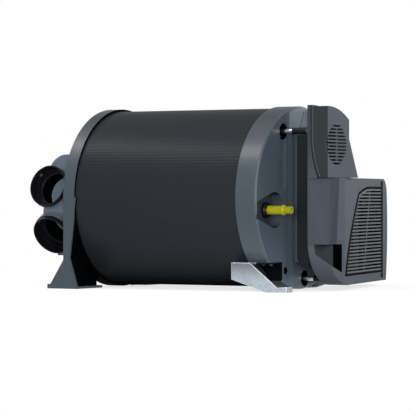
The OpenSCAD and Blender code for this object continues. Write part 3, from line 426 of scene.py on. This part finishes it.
def cover_holes(finish):
    """Walls and floors of the holes for the tie pins and the cold water, darkened as painted shade."""
    face = COVER_HIGH.x - 0.0006
    sunk = 1 - finish.past(finish.along(RIGHT), face, 0.0004)
    holes = sum(
        1 - finish.past(finish.from_line(middle, RIGHT), radius, 0.0004) for middle, radius in COVER_HOLES
    )
    return sunk * holes


def recess_faces(finish):
    """Side and back of the recess in the housing's lower front corner, and the part ahead of the axis."""
    end, front, middle = HOUSE_HIGH.x - 0.003, HOUSE_LOW.y + 0.01, AXIS.y - 0.004
    ahead = 1 - finish.past(finish.along(REAR), middle, 0.001)
    return finish.sunk(RIGHT, end), finish.sunk(FRONT, -front), ahead


def housing_hollows(finish):
    """The ledge behind the intake grille and the deep end of the corner recess, darkened as painted shade."""
    deep_end, ledge_face = AXIS.y - 0.0275, FACE_AT - 0.0022
    side, back, ahead = recess_faces(finish)
    deep = finish.past(finish.along(REAR), deep_end, 0.0005) * ahead
    ledge = finish.sunk(FACE_OUT, ledge_face) * (1 - ahead)
    return ledge + (side + back) * deep


def recess_walls(finish):
    """The walls of the corner recess, darkened as painted shade."""
    side, back, ahead = recess_faces(finish)
    return side * ahead + back


def housing_front(finish):
    """The housing's front panel up to the crease between it and its end, darkened as painted shade."""
    crease = Vector((HOUSE_HIGH.x, AXIS.y, 0)).dot(VIEW_RIGHT) - 0.0113
    lean, foot = 0.0437, AXIS.z - 0.078
    place = finish.along(VIEW_RIGHT) - (finish.along(UP) - AXIS.z) * lean
    above = finish.past(finish.along(UP), foot, 0.008)
    return (1 - finish.past(place, crease, 0.003)) * above


def housing_frame(finish):
    """The frame above the fan box, between the neck and the electronics cover, darkened as painted shade."""
    return finish.past(finish.along(UP), AXIS.z + 0.06, 0.08)


def housing_blend(finish):
    """The rounding between the front panel and the crease, darkened further as painted shade."""
    return housing_front(finish) * finish.past(finish.facing(RIGHT), 0.3, 0.5)


def front_panel(finish):
    """The front panel of the electronics cover, darkened as painted shade."""
    return finish.looking(FRONT)


def slat_walls(finish):
    """The walls of the grille's slots, darkened as painted shade."""
    return 1 - finish.past(finish.facing(FACE_OUT), 0.5, 0.2)


def neck_brow(finish):
    """The lighter block at the top of the neck."""
    foot = AXIS.z + 0.1045
    return finish.past(finish.along(UP), foot, 0.0005)


def spigot_rings(finish):
    """Fine grooves round the tip of the water fitting."""
    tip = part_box("hot_water_fitting")[1].x
    pitch, length = 0.0045, 0.013
    place = finish.along(RIGHT)
    wave = finish.node("ShaderNodeMath", {"operation": "SINE"}, {0: (tip - place) * (math.tau / pitch)})
    return finish.past(wave, 0.75, 0.2) * finish.past(place, tip - length, 0.0005)


def jacket_finish(name, colour):
    """Dark jacket film: faint streaks along the barrel, and a thin sheen that fades out below and weakens at
    the top, as painted shade.
    """
    finish = Finish(name, specular_ior_level=0.0, coat_ior=1.17, coat_roughness=0.34)
    streak = finish.noise(260, 2, (0.02, 1, 1))
    mottle = finish.noise(9, 3)
    body = finish.blend(streak, shade(colour, 0.82), shade(colour, 1.2))
    coat = finish.blend(mottle, body, shade(colour, 1.1))
    rough = finish.between(mottle, 0.5, 0.58) + streak * 0.06
    # Painted shade: the coat's reflection fades out below the axis and weakens at the grazing top.
    sheen = finish.past(finish.along(UP), AXIS.z - 0.104, 0.07) * (1 - crown(finish) * 0.6)
    grains = finish.noise(2600, 1)
    return finish.wear(
        base_color=coat, roughness=rough, coat_weight=sheen, normal=finish.bump(grains, 0.08, 0.0002)
    )


def brushed(name, colour, roughness, stretch, edge=0.0004, tints=()):
    """Drawn or turned metal, brushed along one axis, with lighter edges as a painted highlight and tints as
    in moulded.
    """
    finish = Finish(name, metallic=1.0)
    rounded, edge_highlight = finish.edges(edge)
    strokes = finish.noise(900, 2, stretch)
    cloud = finish.noise(35, 2)
    body = finish.blend(strokes, shade(colour, 0.82), shade(colour, 1.12))
    # Painted highlight: the edges are lightened as if they catch the light.
    coat = finish.blend(edge_highlight * 1.5, body, shade(colour, 1.3))
    for mask, factor in tints:
        coat = finish.blend(mask(finish), coat, shade(colour, factor))
    rough = finish.between(cloud, roughness - 0.05, roughness + 0.08) + strokes * 0.06
    return finish.wear(
        base_color=coat, roughness=rough, normal=finish.bump(strokes, 0.1, 0.0001, rounded)
    )


def galvanised(name, colour):
    """Zinc-coated sheet with its crystal spangle, darker towards the top, with lighter edges as a painted
    highlight and painted shade in the foot notch.
    """
    finish = Finish(name, metallic=0.5, specular_ior_level=0.0)
    rounded, edge_highlight = finish.edges(0.0025)
    crystals = finish.node(
        "ShaderNodeTexVoronoi", {}, {"Vector": finish.place, "Scale": 220.0}, "Color"
    )
    level = finish.node("ShaderNodeSeparateColor", {}, {"Color": crystals}, 0)
    frost = finish.noise(90, 3)
    body = finish.blend(level, shade(colour, 0.86), shade(colour, 1.1))
    coat = finish.blend(frost * 0.35, body, shade(colour, 1.3))
    low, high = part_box("front_foot_bracket")
    height = finish.along(UP)
    # Darker towards the top.
    coat = finish.blend(finish.past(height, high.z - 0.014, 0.036), coat, shade(colour, 0.42))
    # Painted highlight: the edges are lightened as if they catch the light.
    coat = finish.blend(edge_highlight * 5, coat, shade(colour, 2.4))
    # Painted shade: in the front bracket, the sheet behind its front plate and the right part of its top
    # flange are made nearly black.
    depth = finish.along(REAR)
    behind = finish.past(depth, low.y + 0.012, 0.006) * finish.past(height, low.z + 0.012, 0.002)
    flange = finish.past(finish.along(RIGHT), low.x + 0.04, 0.002)
    flange = flange * finish.past(height, high.z - 0.0032, 0.0005)
    ahead = 1 - finish.past(depth, AXIS.y, 0.01)
    coat = finish.blend((behind + flange) * ahead, coat, shade(colour, 0.04))
    rough = finish.between(level, 0.34, 0.5) + frost * 0.08
    return finish.wear(
        base_color=coat, roughness=rough, normal=finish.bump(frost, 0.08, 0.0002, rounded)
    )


def cast_alloy(name, colour):
    """Sand-rough cast aluminium, with lighter edges as a painted highlight."""
    finish = Finish(name, metallic=1.0)
    rounded, edge_highlight = finish.edges(0.0006)
    pits = finish.noise(700, 4)
    stain = finish.noise(16, 3)
    body = finish.blend(stain, shade(colour, 0.7), shade(colour, 1.05))
    # Painted highlight: the edges are lightened as if they catch the light.
    coat = finish.blend(edge_highlight * 1.5, body, shade(colour, 1.3))
    rough = finish.between(pits, 0.42, 0.66)
    return finish.wear(base_color=coat, roughness=rough, normal=finish.bump(pits, 0.3, 0.0004, rounded))


def fibre_mat(name, colour):
    """Matted glass fibre, with its ends made nearly black as painted shade."""
    finish = Finish(name, specular_ior_level=0.2)
    strands = finish.noise(420, 4, (0.25, 1, 1))
    tufts = finish.noise(40, 3)
    body = finish.blend(strands, shade(colour, 0.72), shade(colour, 1.15))
    coat = finish.blend(tufts * 0.4, body, shade(colour, 0.85))
    low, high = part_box("insulation")
    width = 0.04
    place = finish.along(RIGHT)
    # Painted shade: the mat's ends are made nearly black.
    end_shade = finish.past(place, high.x - width, 0.001) + (1 - finish.past(place, low.x + width, 0.001))
    coat = finish.blend(end_shade, coat, shade(colour, 0.015))
    rough = finish.between(tufts, 0.85, 0.97)
    return finish.wear(base_color=coat, roughness=rough, normal=finish.bump(strands, 0.6, 0.001))


def board_finish(name, colour):
    """Lacquered circuit board with tracks under the lacquer."""
    finish = Finish(name, coat_weight=0.6, coat_roughness=0.15)
    tracks = finish.node(
        "ShaderNodeTexBrick", {"offset": 0.37},
        {"Vector": finish.place, "Scale": 260.0, "Mortar Size": 0.03}, "Fac",
    )
    cloud = finish.noise(60, 2)
    body = finish.blend(tracks, shade(colour, 1.0), shade(colour, 1.7))
    coat = finish.blend(cloud * 0.3, body, shade(colour, 0.7))
    rough = finish.between(tracks, 0.3, 0.45)
    return finish.wear(base_color=coat, roughness=rough, normal=finish.bump(tracks, 0.2, 0.0001))


def new_piece(name, mesh_build, material):
    """Turns a bmesh into a piece that rides on the heater and wears a finish."""
    bmesh.ops.recalc_face_normals(mesh_build, faces=mesh_build.faces)
    mesh = bpy.data.meshes.new(name)
    mesh_build.to_mesh(mesh)
    mesh_build.free()
    mesh.materials.append(material)
    piece = bpy.data.objects.new(name, mesh)
    bpy.context.scene.collection.objects.link(piece)
    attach(piece, BODY)
    return piece


def dress(slot, material):
    """Puts a finish on every solid that wears that slot."""
    for name in WEARERS[slot]:
        mesh = NODES[name].data
        mesh.materials.clear()
        mesh.materials.append(material)


class HeaterSizes(bpy.types.PropertyGroup):
    """Sizes of the details that are added to the solids."""

    flutes: IntProperty(
        name="Flutes", description="Flutes on the whole way round the jacket", default=168, min=60, max=300
    )
    flute_depth: FloatProperty(
        name="Flute depth", description="Depth of a flute", default=0.00015, unit="LENGTH"
    )
    wrap_length: FloatProperty(
        name="Wrap length", description="Length of the fluted wrap along the barrel", default=0.307,
        unit="LENGTH",
    )
    liner_length: FloatProperty(
        name="Liner length", description="Length of the ribbed liner behind each outlet", default=0.007,
        unit="LENGTH",
    )
    liner_ribs: IntProperty(name="Liner ribs", description="Ribs round the inside of a liner", default=2)
    seam_angle: FloatProperty(
        name="Seam", description="Angle at the rear that the wrap leaves bare for the flue",
        default=math.radians(42), subtype="ANGLE",
    )


def colour_property(name, default):
    """A colour that a user would change."""
    return FloatVectorProperty(
        name=name, description=name + " colour", default=default, subtype="COLOR", min=0, max=1
    )


class HeaterColours(bpy.types.PropertyGroup):
    """Colours of the finishes."""

    grey_moulding: colour_property("Grey moulding", (0.085, 0.1, 0.118))
    ring_moulding: colour_property("Ring moulding", (0.043, 0.056, 0.071))
    black_moulding: colour_property("Black moulding", (0.005, 0.005, 0.0065))
    dark_moulding: colour_property("Dark moulding", (0.018, 0.02, 0.025))
    neck_moulding: colour_property("Neck moulding", (0.075, 0.09, 0.105))
    slat_moulding: colour_property("Grille", (0.1, 0.11, 0.126))
    painted_sheet: colour_property("Painted sheet", (0.008, 0.0095, 0.0115))
    jacket: colour_property("Jacket", (0.0165, 0.0192, 0.0238))
    insulation: colour_property("Insulation", (0.7, 0.68, 0.62))
    stainless: colour_property("Stainless steel", (0.5, 0.5, 0.52))
    cast_alloy: colour_property("Cast alloy", (0.6, 0.6, 0.62))
    galvanised: colour_property("Galvanised sheet", (0.36, 0.395, 0.445))
    steel_pin: colour_property("Turned steel", (0.6, 0.61, 0.63))
    dark_screw: colour_property("Blackened screws", (0.03, 0.03, 0.032))
    brass: colour_property("Brass", (0.65, 0.48, 0.2))
    yellow_plastic: colour_property("Yellow plastic", (0.37, 0.355, 0.012))
    board: colour_property("Circuit board", (0.003, 0.014, 0.006))
    motor: colour_property("Motor can", (0.12, 0.12, 0.13))


def power_property(name, default):
    """Power of one of the lamps."""
    return FloatProperty(
        name=name, description="Power of the " + name.lower() + " light", default=default, unit="POWER"
    )


class HeaterStudio(bpy.types.PropertyGroup):
    """Camera and light."""

    aim_along: FloatProperty(
        name="Aim", description="Point of the barrel's axis that the camera faces", default=0.0013,
        unit="LENGTH",
    )
    distance: FloatProperty(
        name="Distance", description="Distance of the camera from that point", default=4.171, unit="LENGTH"
    )
    heading: FloatProperty(
        name="Heading", description="Angle of the view to the right of the barrel's front",
        default=HEADING, subtype="ANGLE",
    )
    lens: FloatProperty(name="Lens", description="Focal length in millimetres", default=216.3)
    shift: FloatProperty(
        name="Shift", description="Drop of the frame, as a share of its width", default=-0.025
    )
    key_power: power_property("Key", 19.0)
    front_power: power_property("Front", 40.0)
    side_power: power_property("Side", 20.0)
    back_power: power_property("Back", 13.0)
    sky: FloatProperty(name="Sky", description="Strength of the light from all round", default=0.2)


class HEATER_OT_casing(bpy.types.Operator):
    """Finish the moulded cap, end cover, housing and covers"""

    bl_idname = "heater.casing"
    bl_label = "Casing"

    def execute(self, context):
        colours = context.scene.heater_colours
        grey = colours.grey_moulding
        ring = colours.ring_moulding
        # Painted light and shade on the cap: its grazed top, the plenum's inside, the bores' walls and the
        # hollows beside the barrel are darkened; the plenum, its far wall and the bores' floors are
        # lightened.
        cap_tints = (
            (crown, 0.6), (cap_plenum, 2.1), (plenum_inside, 0.1), (plenum_wall, 9.0), (bore_walls, HOLLOW_SHADE),
            (bore_floors, 4.5), (cap_hollows, HOLLOW_SHADE),
        )
        dress("cap_moulding", moulded("cap moulding", ring, 0.36, gloss=0.4, tints=cap_tints))
        # Painted shade on the housing: the front panel, the rounding, the frame above the fan box, the corner
        # recess and the ledge behind the grille are darkened.
        housing_tints = (
            (housing_front, 0.74), (housing_blend, 0.58), (housing_frame, 0.5), (recess_walls, 0.45),
            (housing_hollows, 0.01),
        )
        dress("housing_moulding", moulded("housing moulding", grey, 0.5, gloss=0.03, tints=housing_tints))
        # Painted shade: the electronics cover's front panel is darkened.
        dress("grey_moulding", moulded(
            "grey moulding", grey, 0.5, 0.0012, gloss=0.03, tints=((front_panel, 0.36),)
        ))
        # Painted shade: the walls of the grille's slots are darkened.
        dress("slat_moulding", moulded(
            "grille moulding", colours.slat_moulding, 0.45, 0.0005, gloss=0.05, tints=((slat_walls, 0.05),)
        ))
        # Painted light and shade on the end cover: its lower part and its face beside the neck are lightened;
        # its grazed top, underside, pocket, foot notches and holes are darkened.
        cover_tints = (
            (cover_low, 1.6), (cover_corner, 2.2), (crown, 0.55), (cover_underside, 0.3), (cover_pocket, 0.5),
            (foot_notch, 0.06), (cover_holes, HOLLOW_SHADE),
        )
        dress("ring_moulding", moulded("ring moulding", ring, 0.33, gloss=0.42, tints=cover_tints))
        dress("dark_moulding", moulded("dark moulding", colours.dark_moulding, 0.5))
        dress("neck_moulding", moulded(
            "neck moulding", colours.neck_moulding, 0.5, tints=((neck_brow, 1.62),)
        ))
        dress("painted_sheet", moulded("painted sheet", colours.painted_sheet, 0.45, 0.0006, 900, 0.06, 0.12))
        dress("black_moulding", moulded("black moulding", colours.black_moulding, 0.36, 0.0006, gloss=0.14))
        return {"FINISHED"}


class HEATER_OT_liners(bpy.types.Operator):
    """Set a ribbed black liner in the bore behind each outlet, and a small latch in its mouth"""

    bl_idname = "heater.liners"
    bl_label = "Outlet liners"

    def execute(self, context):
        sizes = context.scene.heater_sizes
        colours = context.scene.heater_colours
        finish = moulded("liner moulding", colours.black_moulding, 0.4, 0.0004, gloss=0.14)
        tab = moulded("latch moulding", colours.grey_moulding, 0.4, 0.0003)
        latch_turn = Matrix.Rotation(math.radians(49), 4, "Z")
        latch_size = Matrix.Diagonal((0.001, 0.005, 0.004, 1))
        latch_sunk, latch_depth = 0.0006, 0.0125
        outlet_end = 0.0203
        bore_r, inner_r, rib_r = 0.0287, 0.0275, 0.0268
        step = sizes.liner_length / sizes.liner_ribs
        for duct in DUCTS:
            liner = bmesh.new()
            points = [(bore_r, 0), (inner_r, 0)]
            for i in range(sizes.liner_ribs):
                low = i * step
                points += [(inner_r, low + 0.5 * step), (rib_r, low + 0.6 * step), (rib_r, low + 0.9 * step)]
                points.append((inner_r, low + step))
            points.append((bore_r, sizes.liner_length))
            ring = [liner.verts.new((r, 0, -outlet_end - depth)) for r, depth in points]
            edges = [liner.edges.new(pair) for pair in zip(ring, ring[1:] + ring[:1])]
            bmesh.ops.spin(
                liner, geom=ring + edges, cent=(0, 0, 0), axis=UP, angle=math.tau, steps=64, use_merge=True
            )
            bmesh.ops.remove_doubles(liner, verts=liner.verts, dist=1e-6)
            out = Vector(duct["axis"])
            mouth = Matrix.Translation(duct["pos_m"]) @ out.to_track_quat("Z", "X").to_matrix().to_4x4()
            bmesh.ops.transform(liner, matrix=mouth, verts=liner.verts)
            new_piece(duct["name"].replace("duct", "liner"), liner, finish)
            latch = bmesh.new()
            spot = Matrix.Translation((duct["dims"]["r_mm"] / 1000 - latch_sunk, 0, -latch_depth))
            bmesh.ops.create_cube(latch, size=1, matrix=latch_turn @ spot @ latch_size)
            bmesh.ops.transform(latch, matrix=mouth, verts=latch.verts)
            new_piece(duct["name"].replace("duct", "latch"), latch, tab)
        return {"FINISHED"}


def outer_loop(name, out, level):
    """Corners, in order, of the longest outline of a solid's flat face."""
    mesh = NODES[name].data
    seen = {}
    for face in mesh.polygons:
        lowest = min(out.dot(mesh.vertices[i].co) for i in face.vertices)
        if face.normal.dot(out) > 0.99 and lowest > level - 1e-5:
            for pair in face.edge_keys:
                seen[pair] = seen.get(pair, 0) + 1
    links = {}
    for pair in [pair for pair, count in seen.items() if count == 1]:
        for a, b in (pair, pair[::-1]):
            links.setdefault(a, []).append(b)
    loops = []
    while links:
        start = next(iter(links))
        loop, last, at = [start], None, start
        while True:
            step = next((i for i in links.pop(at) if i != last), start)
            last, at = at, step
            if at == start or at not in links:
                break
            loop.append(at)
        loops.append([mesh.vertices[i].co.copy() for i in loop])
    return max(loops, key=lambda loop: max((a - loop[0]).length for a in loop))


class HEATER_OT_grille_gap(bpy.types.Operator):
    """Lay a black band of painted shade in the gap round the intake grille, and black marks of painted shade
    for the mouths of its clip slots
    """

    bl_idname = "heater.grille_gap"
    bl_label = "Gap round the grille"

    def execute(self, context):
        black = shade(context.scene.heater_colours.black_moulding, 0.3)[:3]
        finish = moulded("gap shade", black, 0.7, 0.0002, gloss=0.01)
        # How far the gap reaches over the grille and over the housing, along each axis
        inner, outer, proud = Vector((0.0035, 0.0035, 0.001)), Vector((0.008, 0.008, 0.003)), 0.0002
        loop = outer_loop("intake_grille", FACE_OUT, FACE_AT)
        turn = sum(((a - loop[0]).cross(b - loop[0]).dot(FACE_OUT) for a, b in zip(loop, loop[1:])), 0.0)
        sign = 1 if turn > 0 else -1
        rows = []
        gap = bmesh.new()
        for before, corner, after in zip(loop[-1:] + loop[:-1], loop, loop[1:] + loop[:1]):
            ways = (corner - before).normalized() + (after - corner).normalized()
            away = ways.cross(FACE_OUT) * sign
            away *= 2 / away.length_squared
            rows.append([
                gap.verts.new(self.inside(corner + away * reach + FACE_OUT * rise))
                for reach, rise in ((-inner, proud), (outer, proud), (outer, -proud), (-inner, -proud))
            ])
        for first, second in zip(rows, rows[1:] + rows[:1]):
            for i in range(4):
                j = (i + 1) % 4
                gap.faces.new((first[i], first[j], second[j], second[i]))
        new_piece("grille_gap", gap, finish)
        self.clip_slots(loop, finish)
        return {"FINISHED"}

    def inside(self, point):
        """Draws a point back along the intake face until it lies inside the housing's end."""
        over = max(0.0, point.x - HOUSE_HIGH.x + 0.0001)
        return point - FACE_ALONG * (over / FACE_ALONG.x)

    def clip_slots(self, loop, finish):
        """Black marks of painted shade for the mouths of the two slots that the grille's clips go into, above
        and below its right edge.
        """
        right = max(FACE_ALONG.dot(p) for p in loop) + 0.0015
        heights = (max(p.z for p in loop) + 0.0078, min(p.z for p in loop) - 0.0082)
        turn = Matrix.Rotation(FACE_TURN, 4, "Z")
        size = Matrix.Diagonal((0.0006, 0.013, 0.0085, 1))
        slots = bmesh.new()
        for height in heights:
            middle = FACE_OUT * FACE_AT + FACE_ALONG * right + Vector((0, 0, height))
            bmesh.ops.create_cube(slots, size=1, matrix=Matrix.Translation(middle) @ turn @ size)
        new_piece("clip_slots", slots, finish)


class HEATER_OT_neck(bpy.types.Operator):
    """Lay the slanting seam on the block at the top of the neck"""

    bl_idname = "heater.neck"
    bl_label = "Neck seam"

    def execute(self, context):
        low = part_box("neck_duct")[0]
        finish = moulded("seam gap", context.scene.heater_colours.black_moulding, 0.6, 0.0002)
        width, proud = 0.0009, 0.0002
        foot, foot_z = low.x + 0.0178, AXIS.z + 0.1055
        head, head_z = low.x + 0.0265, AXIS.z + 0.1385
        seam = bmesh.new()
        ends = [(foot, foot_z), (foot + width, foot_z), (head + width, head_z), (head, head_z)]
        face = seam.faces.new([seam.verts.new((x, low.y - proud, z)) for x, z in ends])
        wall = bmesh.ops.extrude_face_region(seam, geom=[face])
        back = [v for v in wall["geom"] if isinstance(v, bmesh.types.BMVert)]
        bmesh.ops.translate(seam, verts=back, vec=(0, 2 * proud, 0))
        new_piece("neck_seam", seam, finish)
        return {"FINISHED"}


class HEATER_OT_jacket(bpy.types.Operator):
    """Finish the jacket and lay its fluted wrap round it"""

    bl_idname = "heater.jacket"
    bl_label = "Jacket"

    def execute(self, context):
        sizes = context.scene.heater_sizes
        finish = jacket_finish("jacket film", context.scene.heater_colours.jacket)
        dress("jacket", finish)
        end = COVER_LOW.x - 0.0005
        start = end - sizes.wrap_length
        pitch = math.tau / sizes.flutes
        count = round((math.tau - sizes.seam_angle) / pitch)
        first = (math.tau - count * pitch) / 2
        film, swell = 0.0001, 0.7
        points = 6
        wrap = bmesh.new()
        row = []
        for i in range(points + 1):
            share = i / points
            angle = first + share * pitch
            radius = BARREL_R + film + sizes.flute_depth * math.sin(math.pi * share) ** swell
            spoke = radius * Vector((0, math.cos(angle), math.sin(angle)))
            row.append(wrap.verts.new(AXIS + spoke + Vector((start, 0, 0))))
        edges = [wrap.edges.new(pair) for pair in zip(row, row[1:])]
        drawn = bmesh.ops.extrude_edge_only(wrap, edges=edges)
        tops = [v for v in drawn["geom"] if isinstance(v, bmesh.types.BMVert)]
        bmesh.ops.translate(wrap, verts=tops, vec=(sizes.wrap_length, 0, 0))
        bmesh.ops.spin(
            wrap, geom=wrap.verts[:] + wrap.edges[:] + wrap.faces[:], cent=AXIS, axis=RIGHT,
            angle=pitch * (count - 1), steps=count - 1, use_duplicate=True,
        )
        bmesh.ops.remove_doubles(wrap, verts=wrap.verts, dist=1e-6)
        piece = new_piece("jacket_wrap", wrap, finish)
        for face in piece.data.polygons:
            face.use_smooth = True
        return {"FINISHED"}


class HEATER_OT_metal(bpy.types.Operator):
    """Finish the brackets, pins, screws, pipes and castings"""

    bl_idname = "heater.metal"
    bl_label = "Metal pieces"

    def execute(self, context):
        colours = context.scene.heater_colours
        dress("galvanised", galvanised("galvanised sheet", colours.galvanised))
        dress("steel_pin", brushed("turned steel", colours.steel_pin, 0.22, (0.05, 1, 1)))
        dress("dark_screw", brushed("blackened steel", colours.dark_screw, 0.4, (1, 1, 0.05)))
        dress("stainless", brushed("drawn stainless", colours.stainless, 0.3, (1, 1, 0.05)))
        # Painted shade: the tank's end is made nearly black where the foot notches show it.
        dress("tank", brushed(
            "tank stainless", colours.stainless, 0.3, (1, 1, 0.05), tints=((tank_foot, 0.02),)
        ))
        dress("brass", brushed("turned brass", colours.brass, 0.25, (1, 0.05, 1)))
        dress("cast_alloy", cast_alloy("cast alloy", colours.cast_alloy))
        dress("motor", moulded("motor enamel", colours.motor, 0.35, 0.0006, 900, 0.05))
        return {"FINISHED"}


class HEATER_OT_inside(bpy.types.Operator):
    """Finish the fittings, the insulation and the circuit board"""

    bl_idname = "heater.inside"
    bl_label = "Fittings and inside"

    def execute(self, context):
        colours = context.scene.heater_colours
        dress("yellow_plastic", moulded(
            "yellow fitting", colours.yellow_plastic, 0.3, 0.0006, 1400, 0.05, gloss=0.35,
            tints=((spigot_rings, 0.35),),
        ))
        dress("insulation", fibre_mat("fibre mat", colours.insulation))
        dress("board", board_finish("circuit board", colours.board))
        return {"FINISHED"}


def lamp(name, place, target, size, power):
    """A rectangular soft light that faces a target."""
    light = bpy.data.lights.new(name, "AREA")
    light.shape = "RECTANGLE"
    light.size, light.size_y = size
    light.energy = power
    holder = bpy.data.objects.new(name, light)
    holder.location = place
    holder.rotation_euler = (target - place).to_track_quat("-Z", "Y").to_euler()
    bpy.context.scene.collection.objects.link(holder)


def white_to_camera(nodes, output, plain, white):
    """Shows white where the camera, a mirror or glass looks, and the plain shader to all other light."""
    seen = nodes.node("ShaderNodeLightPath", {}, {}, "Is Camera Ray")
    for ray in ("Is Glossy Ray", "Is Transmission Ray"):
        other = nodes.node("ShaderNodeLightPath", {}, {}, ray)
        seen = nodes.node("ShaderNodeMath", {"operation": "MAXIMUM"}, {0: seen, 1: other})
    mix = nodes.node("ShaderNodeMixShader", {}, {0: seen, 1: plain, 2: white})
    nodes.feed(nodes.tree.nodes[output].inputs["Surface"], mix)


class HEATER_OT_studio(bpy.types.Operator):
    """Set the floor, the light and the camera"""

    bl_idname = "heater.studio"
    bl_label = "Studio"

    def execute(self, context):
        scene = context.scene
        studio = scene.heater_studio
        self.floor()
        self.world(scene, studio)
        self.lights(studio)
        self.camera(scene, studio)
        scene.view_settings.view_transform = "Standard"
        return {"FINISHED"}

    def floor(self):
        """A pale floor that fades to white away from the heater."""
        slab = bmesh.new()
        bmesh.ops.create_grid(slab, x_segments=1, y_segments=1, size=20)
        mesh = bpy.data.meshes.new("floor")
        slab.to_mesh(mesh)
        slab.free()
        floor = bpy.data.objects.new("floor", mesh)
        bpy.context.scene.collection.objects.link(floor)
        paint = Finish("pale floor", base_color=(0.5, 0.5, 0.5, 1), roughness=0.9, specular_ior_level=0.0)
        plain = Wire(paint, paint.shader.outputs[0])
        glow = paint.node("ShaderNodeEmission", {}, {"Strength": 0.72})
        lit = paint.node("ShaderNodeAddShader", {}, {0: plain, 1: glow})
        far = paint.node("ShaderNodeEmission", {}, {})
        fade = paint.past(paint.length(paint.place), 0.6, 0.6)
        white = paint.node("ShaderNodeMixShader", {}, {0: fade, 1: lit, 2: far})
        white_to_camera(paint, "Material Output", plain, white)
        mesh.materials.append(paint.material)

    def world(self, scene, studio):
        """Even light from all round, behind which the camera sees white."""
        world = bpy.data.worlds.new("studio")
        world.use_nodes = True
        scene.world = world
        nodes = Nodes(world.node_tree)
        sky = nodes.tree.nodes["Background"]
        nodes.feed(sky.inputs["Color"], (1, 1, 1, 1))
        nodes.feed(sky.inputs["Strength"], studio.sky)
        white = nodes.node("ShaderNodeBackground", {}, {"Color": (1, 1, 1, 1), "Strength": 1.0})
        white_to_camera(nodes, "World Output", Wire(nodes, sky.outputs[0]), white)

    def lights(self, studio):
        """The lamps, which face the barrel's middle."""
        for name, place, size in LAMPS:
            lamp(name, AXIS + Vector(place), AXIS, size, getattr(studio, name + "_power"))

    def camera(self, scene, studio):
        """The photo's camera."""
        data = bpy.data.cameras.new("photo camera")
        data.sensor_width = 36.0
        data.lens = studio.lens
        data.shift_y = studio.shift
        data.clip_end = 100.0
        camera = bpy.data.objects.new("photo camera", data)
        back = Vector((math.sin(studio.heading), -math.cos(studio.heading), 0))
        camera.location = Vector((studio.aim_along, AXIS.y, AXIS.z)) + studio.distance * back
        camera.rotation_euler = (math.pi / 2, 0, studio.heading)
        scene.collection.objects.link(camera)
        scene.camera = camera


class HEATER_PT_panel(bpy.types.Panel):
    """Steps that dress the heater"""

    bl_label = "Caravan heater"
    bl_idname = "HEATER_PT_panel"
    bl_space_type = "VIEW_3D"
    bl_region_type = "UI"
    bl_category = "Heater"

    def draw(self, context):
        for step in STEPS:
            self.layout.operator(step.bl_idname)
        for group in ("heater_sizes", "heater_colours", "heater_studio"):
            box = self.layout.box()
            settings = getattr(context.scene, group)
            for name in settings.__annotations__:
                box.prop(settings, name)


GROUPS = {"heater_sizes": HeaterSizes, "heater_colours": HeaterColours, "heater_studio": HeaterStudio}
STEPS = (
    HEATER_OT_casing, HEATER_OT_liners, HEATER_OT_neck, HEATER_OT_grille_gap, HEATER_OT_jacket,
    HEATER_OT_metal, HEATER_OT_inside, HEATER_OT_studio,
)


def register():
    for name, group in GROUPS.items():
        bpy.utils.register_class(group)
        setattr(bpy.types.Scene, name, PointerProperty(type=group))
    for step in STEPS + (HEATER_PT_panel,):
        bpy.utils.register_class(step)


def unregister():
    for step in (HEATER_PT_panel,) + STEPS[::-1]:
        bpy.utils.unregister_class(step)
    for name, group in GROUPS.items():
        delattr(bpy.types.Scene, name)
        bpy.utils.unregister_class(group)


def main():
    register()
    bpy.ops.heater.casing()
    bpy.ops.heater.liners()
    bpy.ops.heater.neck()
    bpy.ops.heater.grille_gap()
    bpy.ops.heater.jacket()
    bpy.ops.heater.metal()
    bpy.ops.heater.inside()
    bpy.ops.heater.studio()


if __name__ == "__main__":
    main()
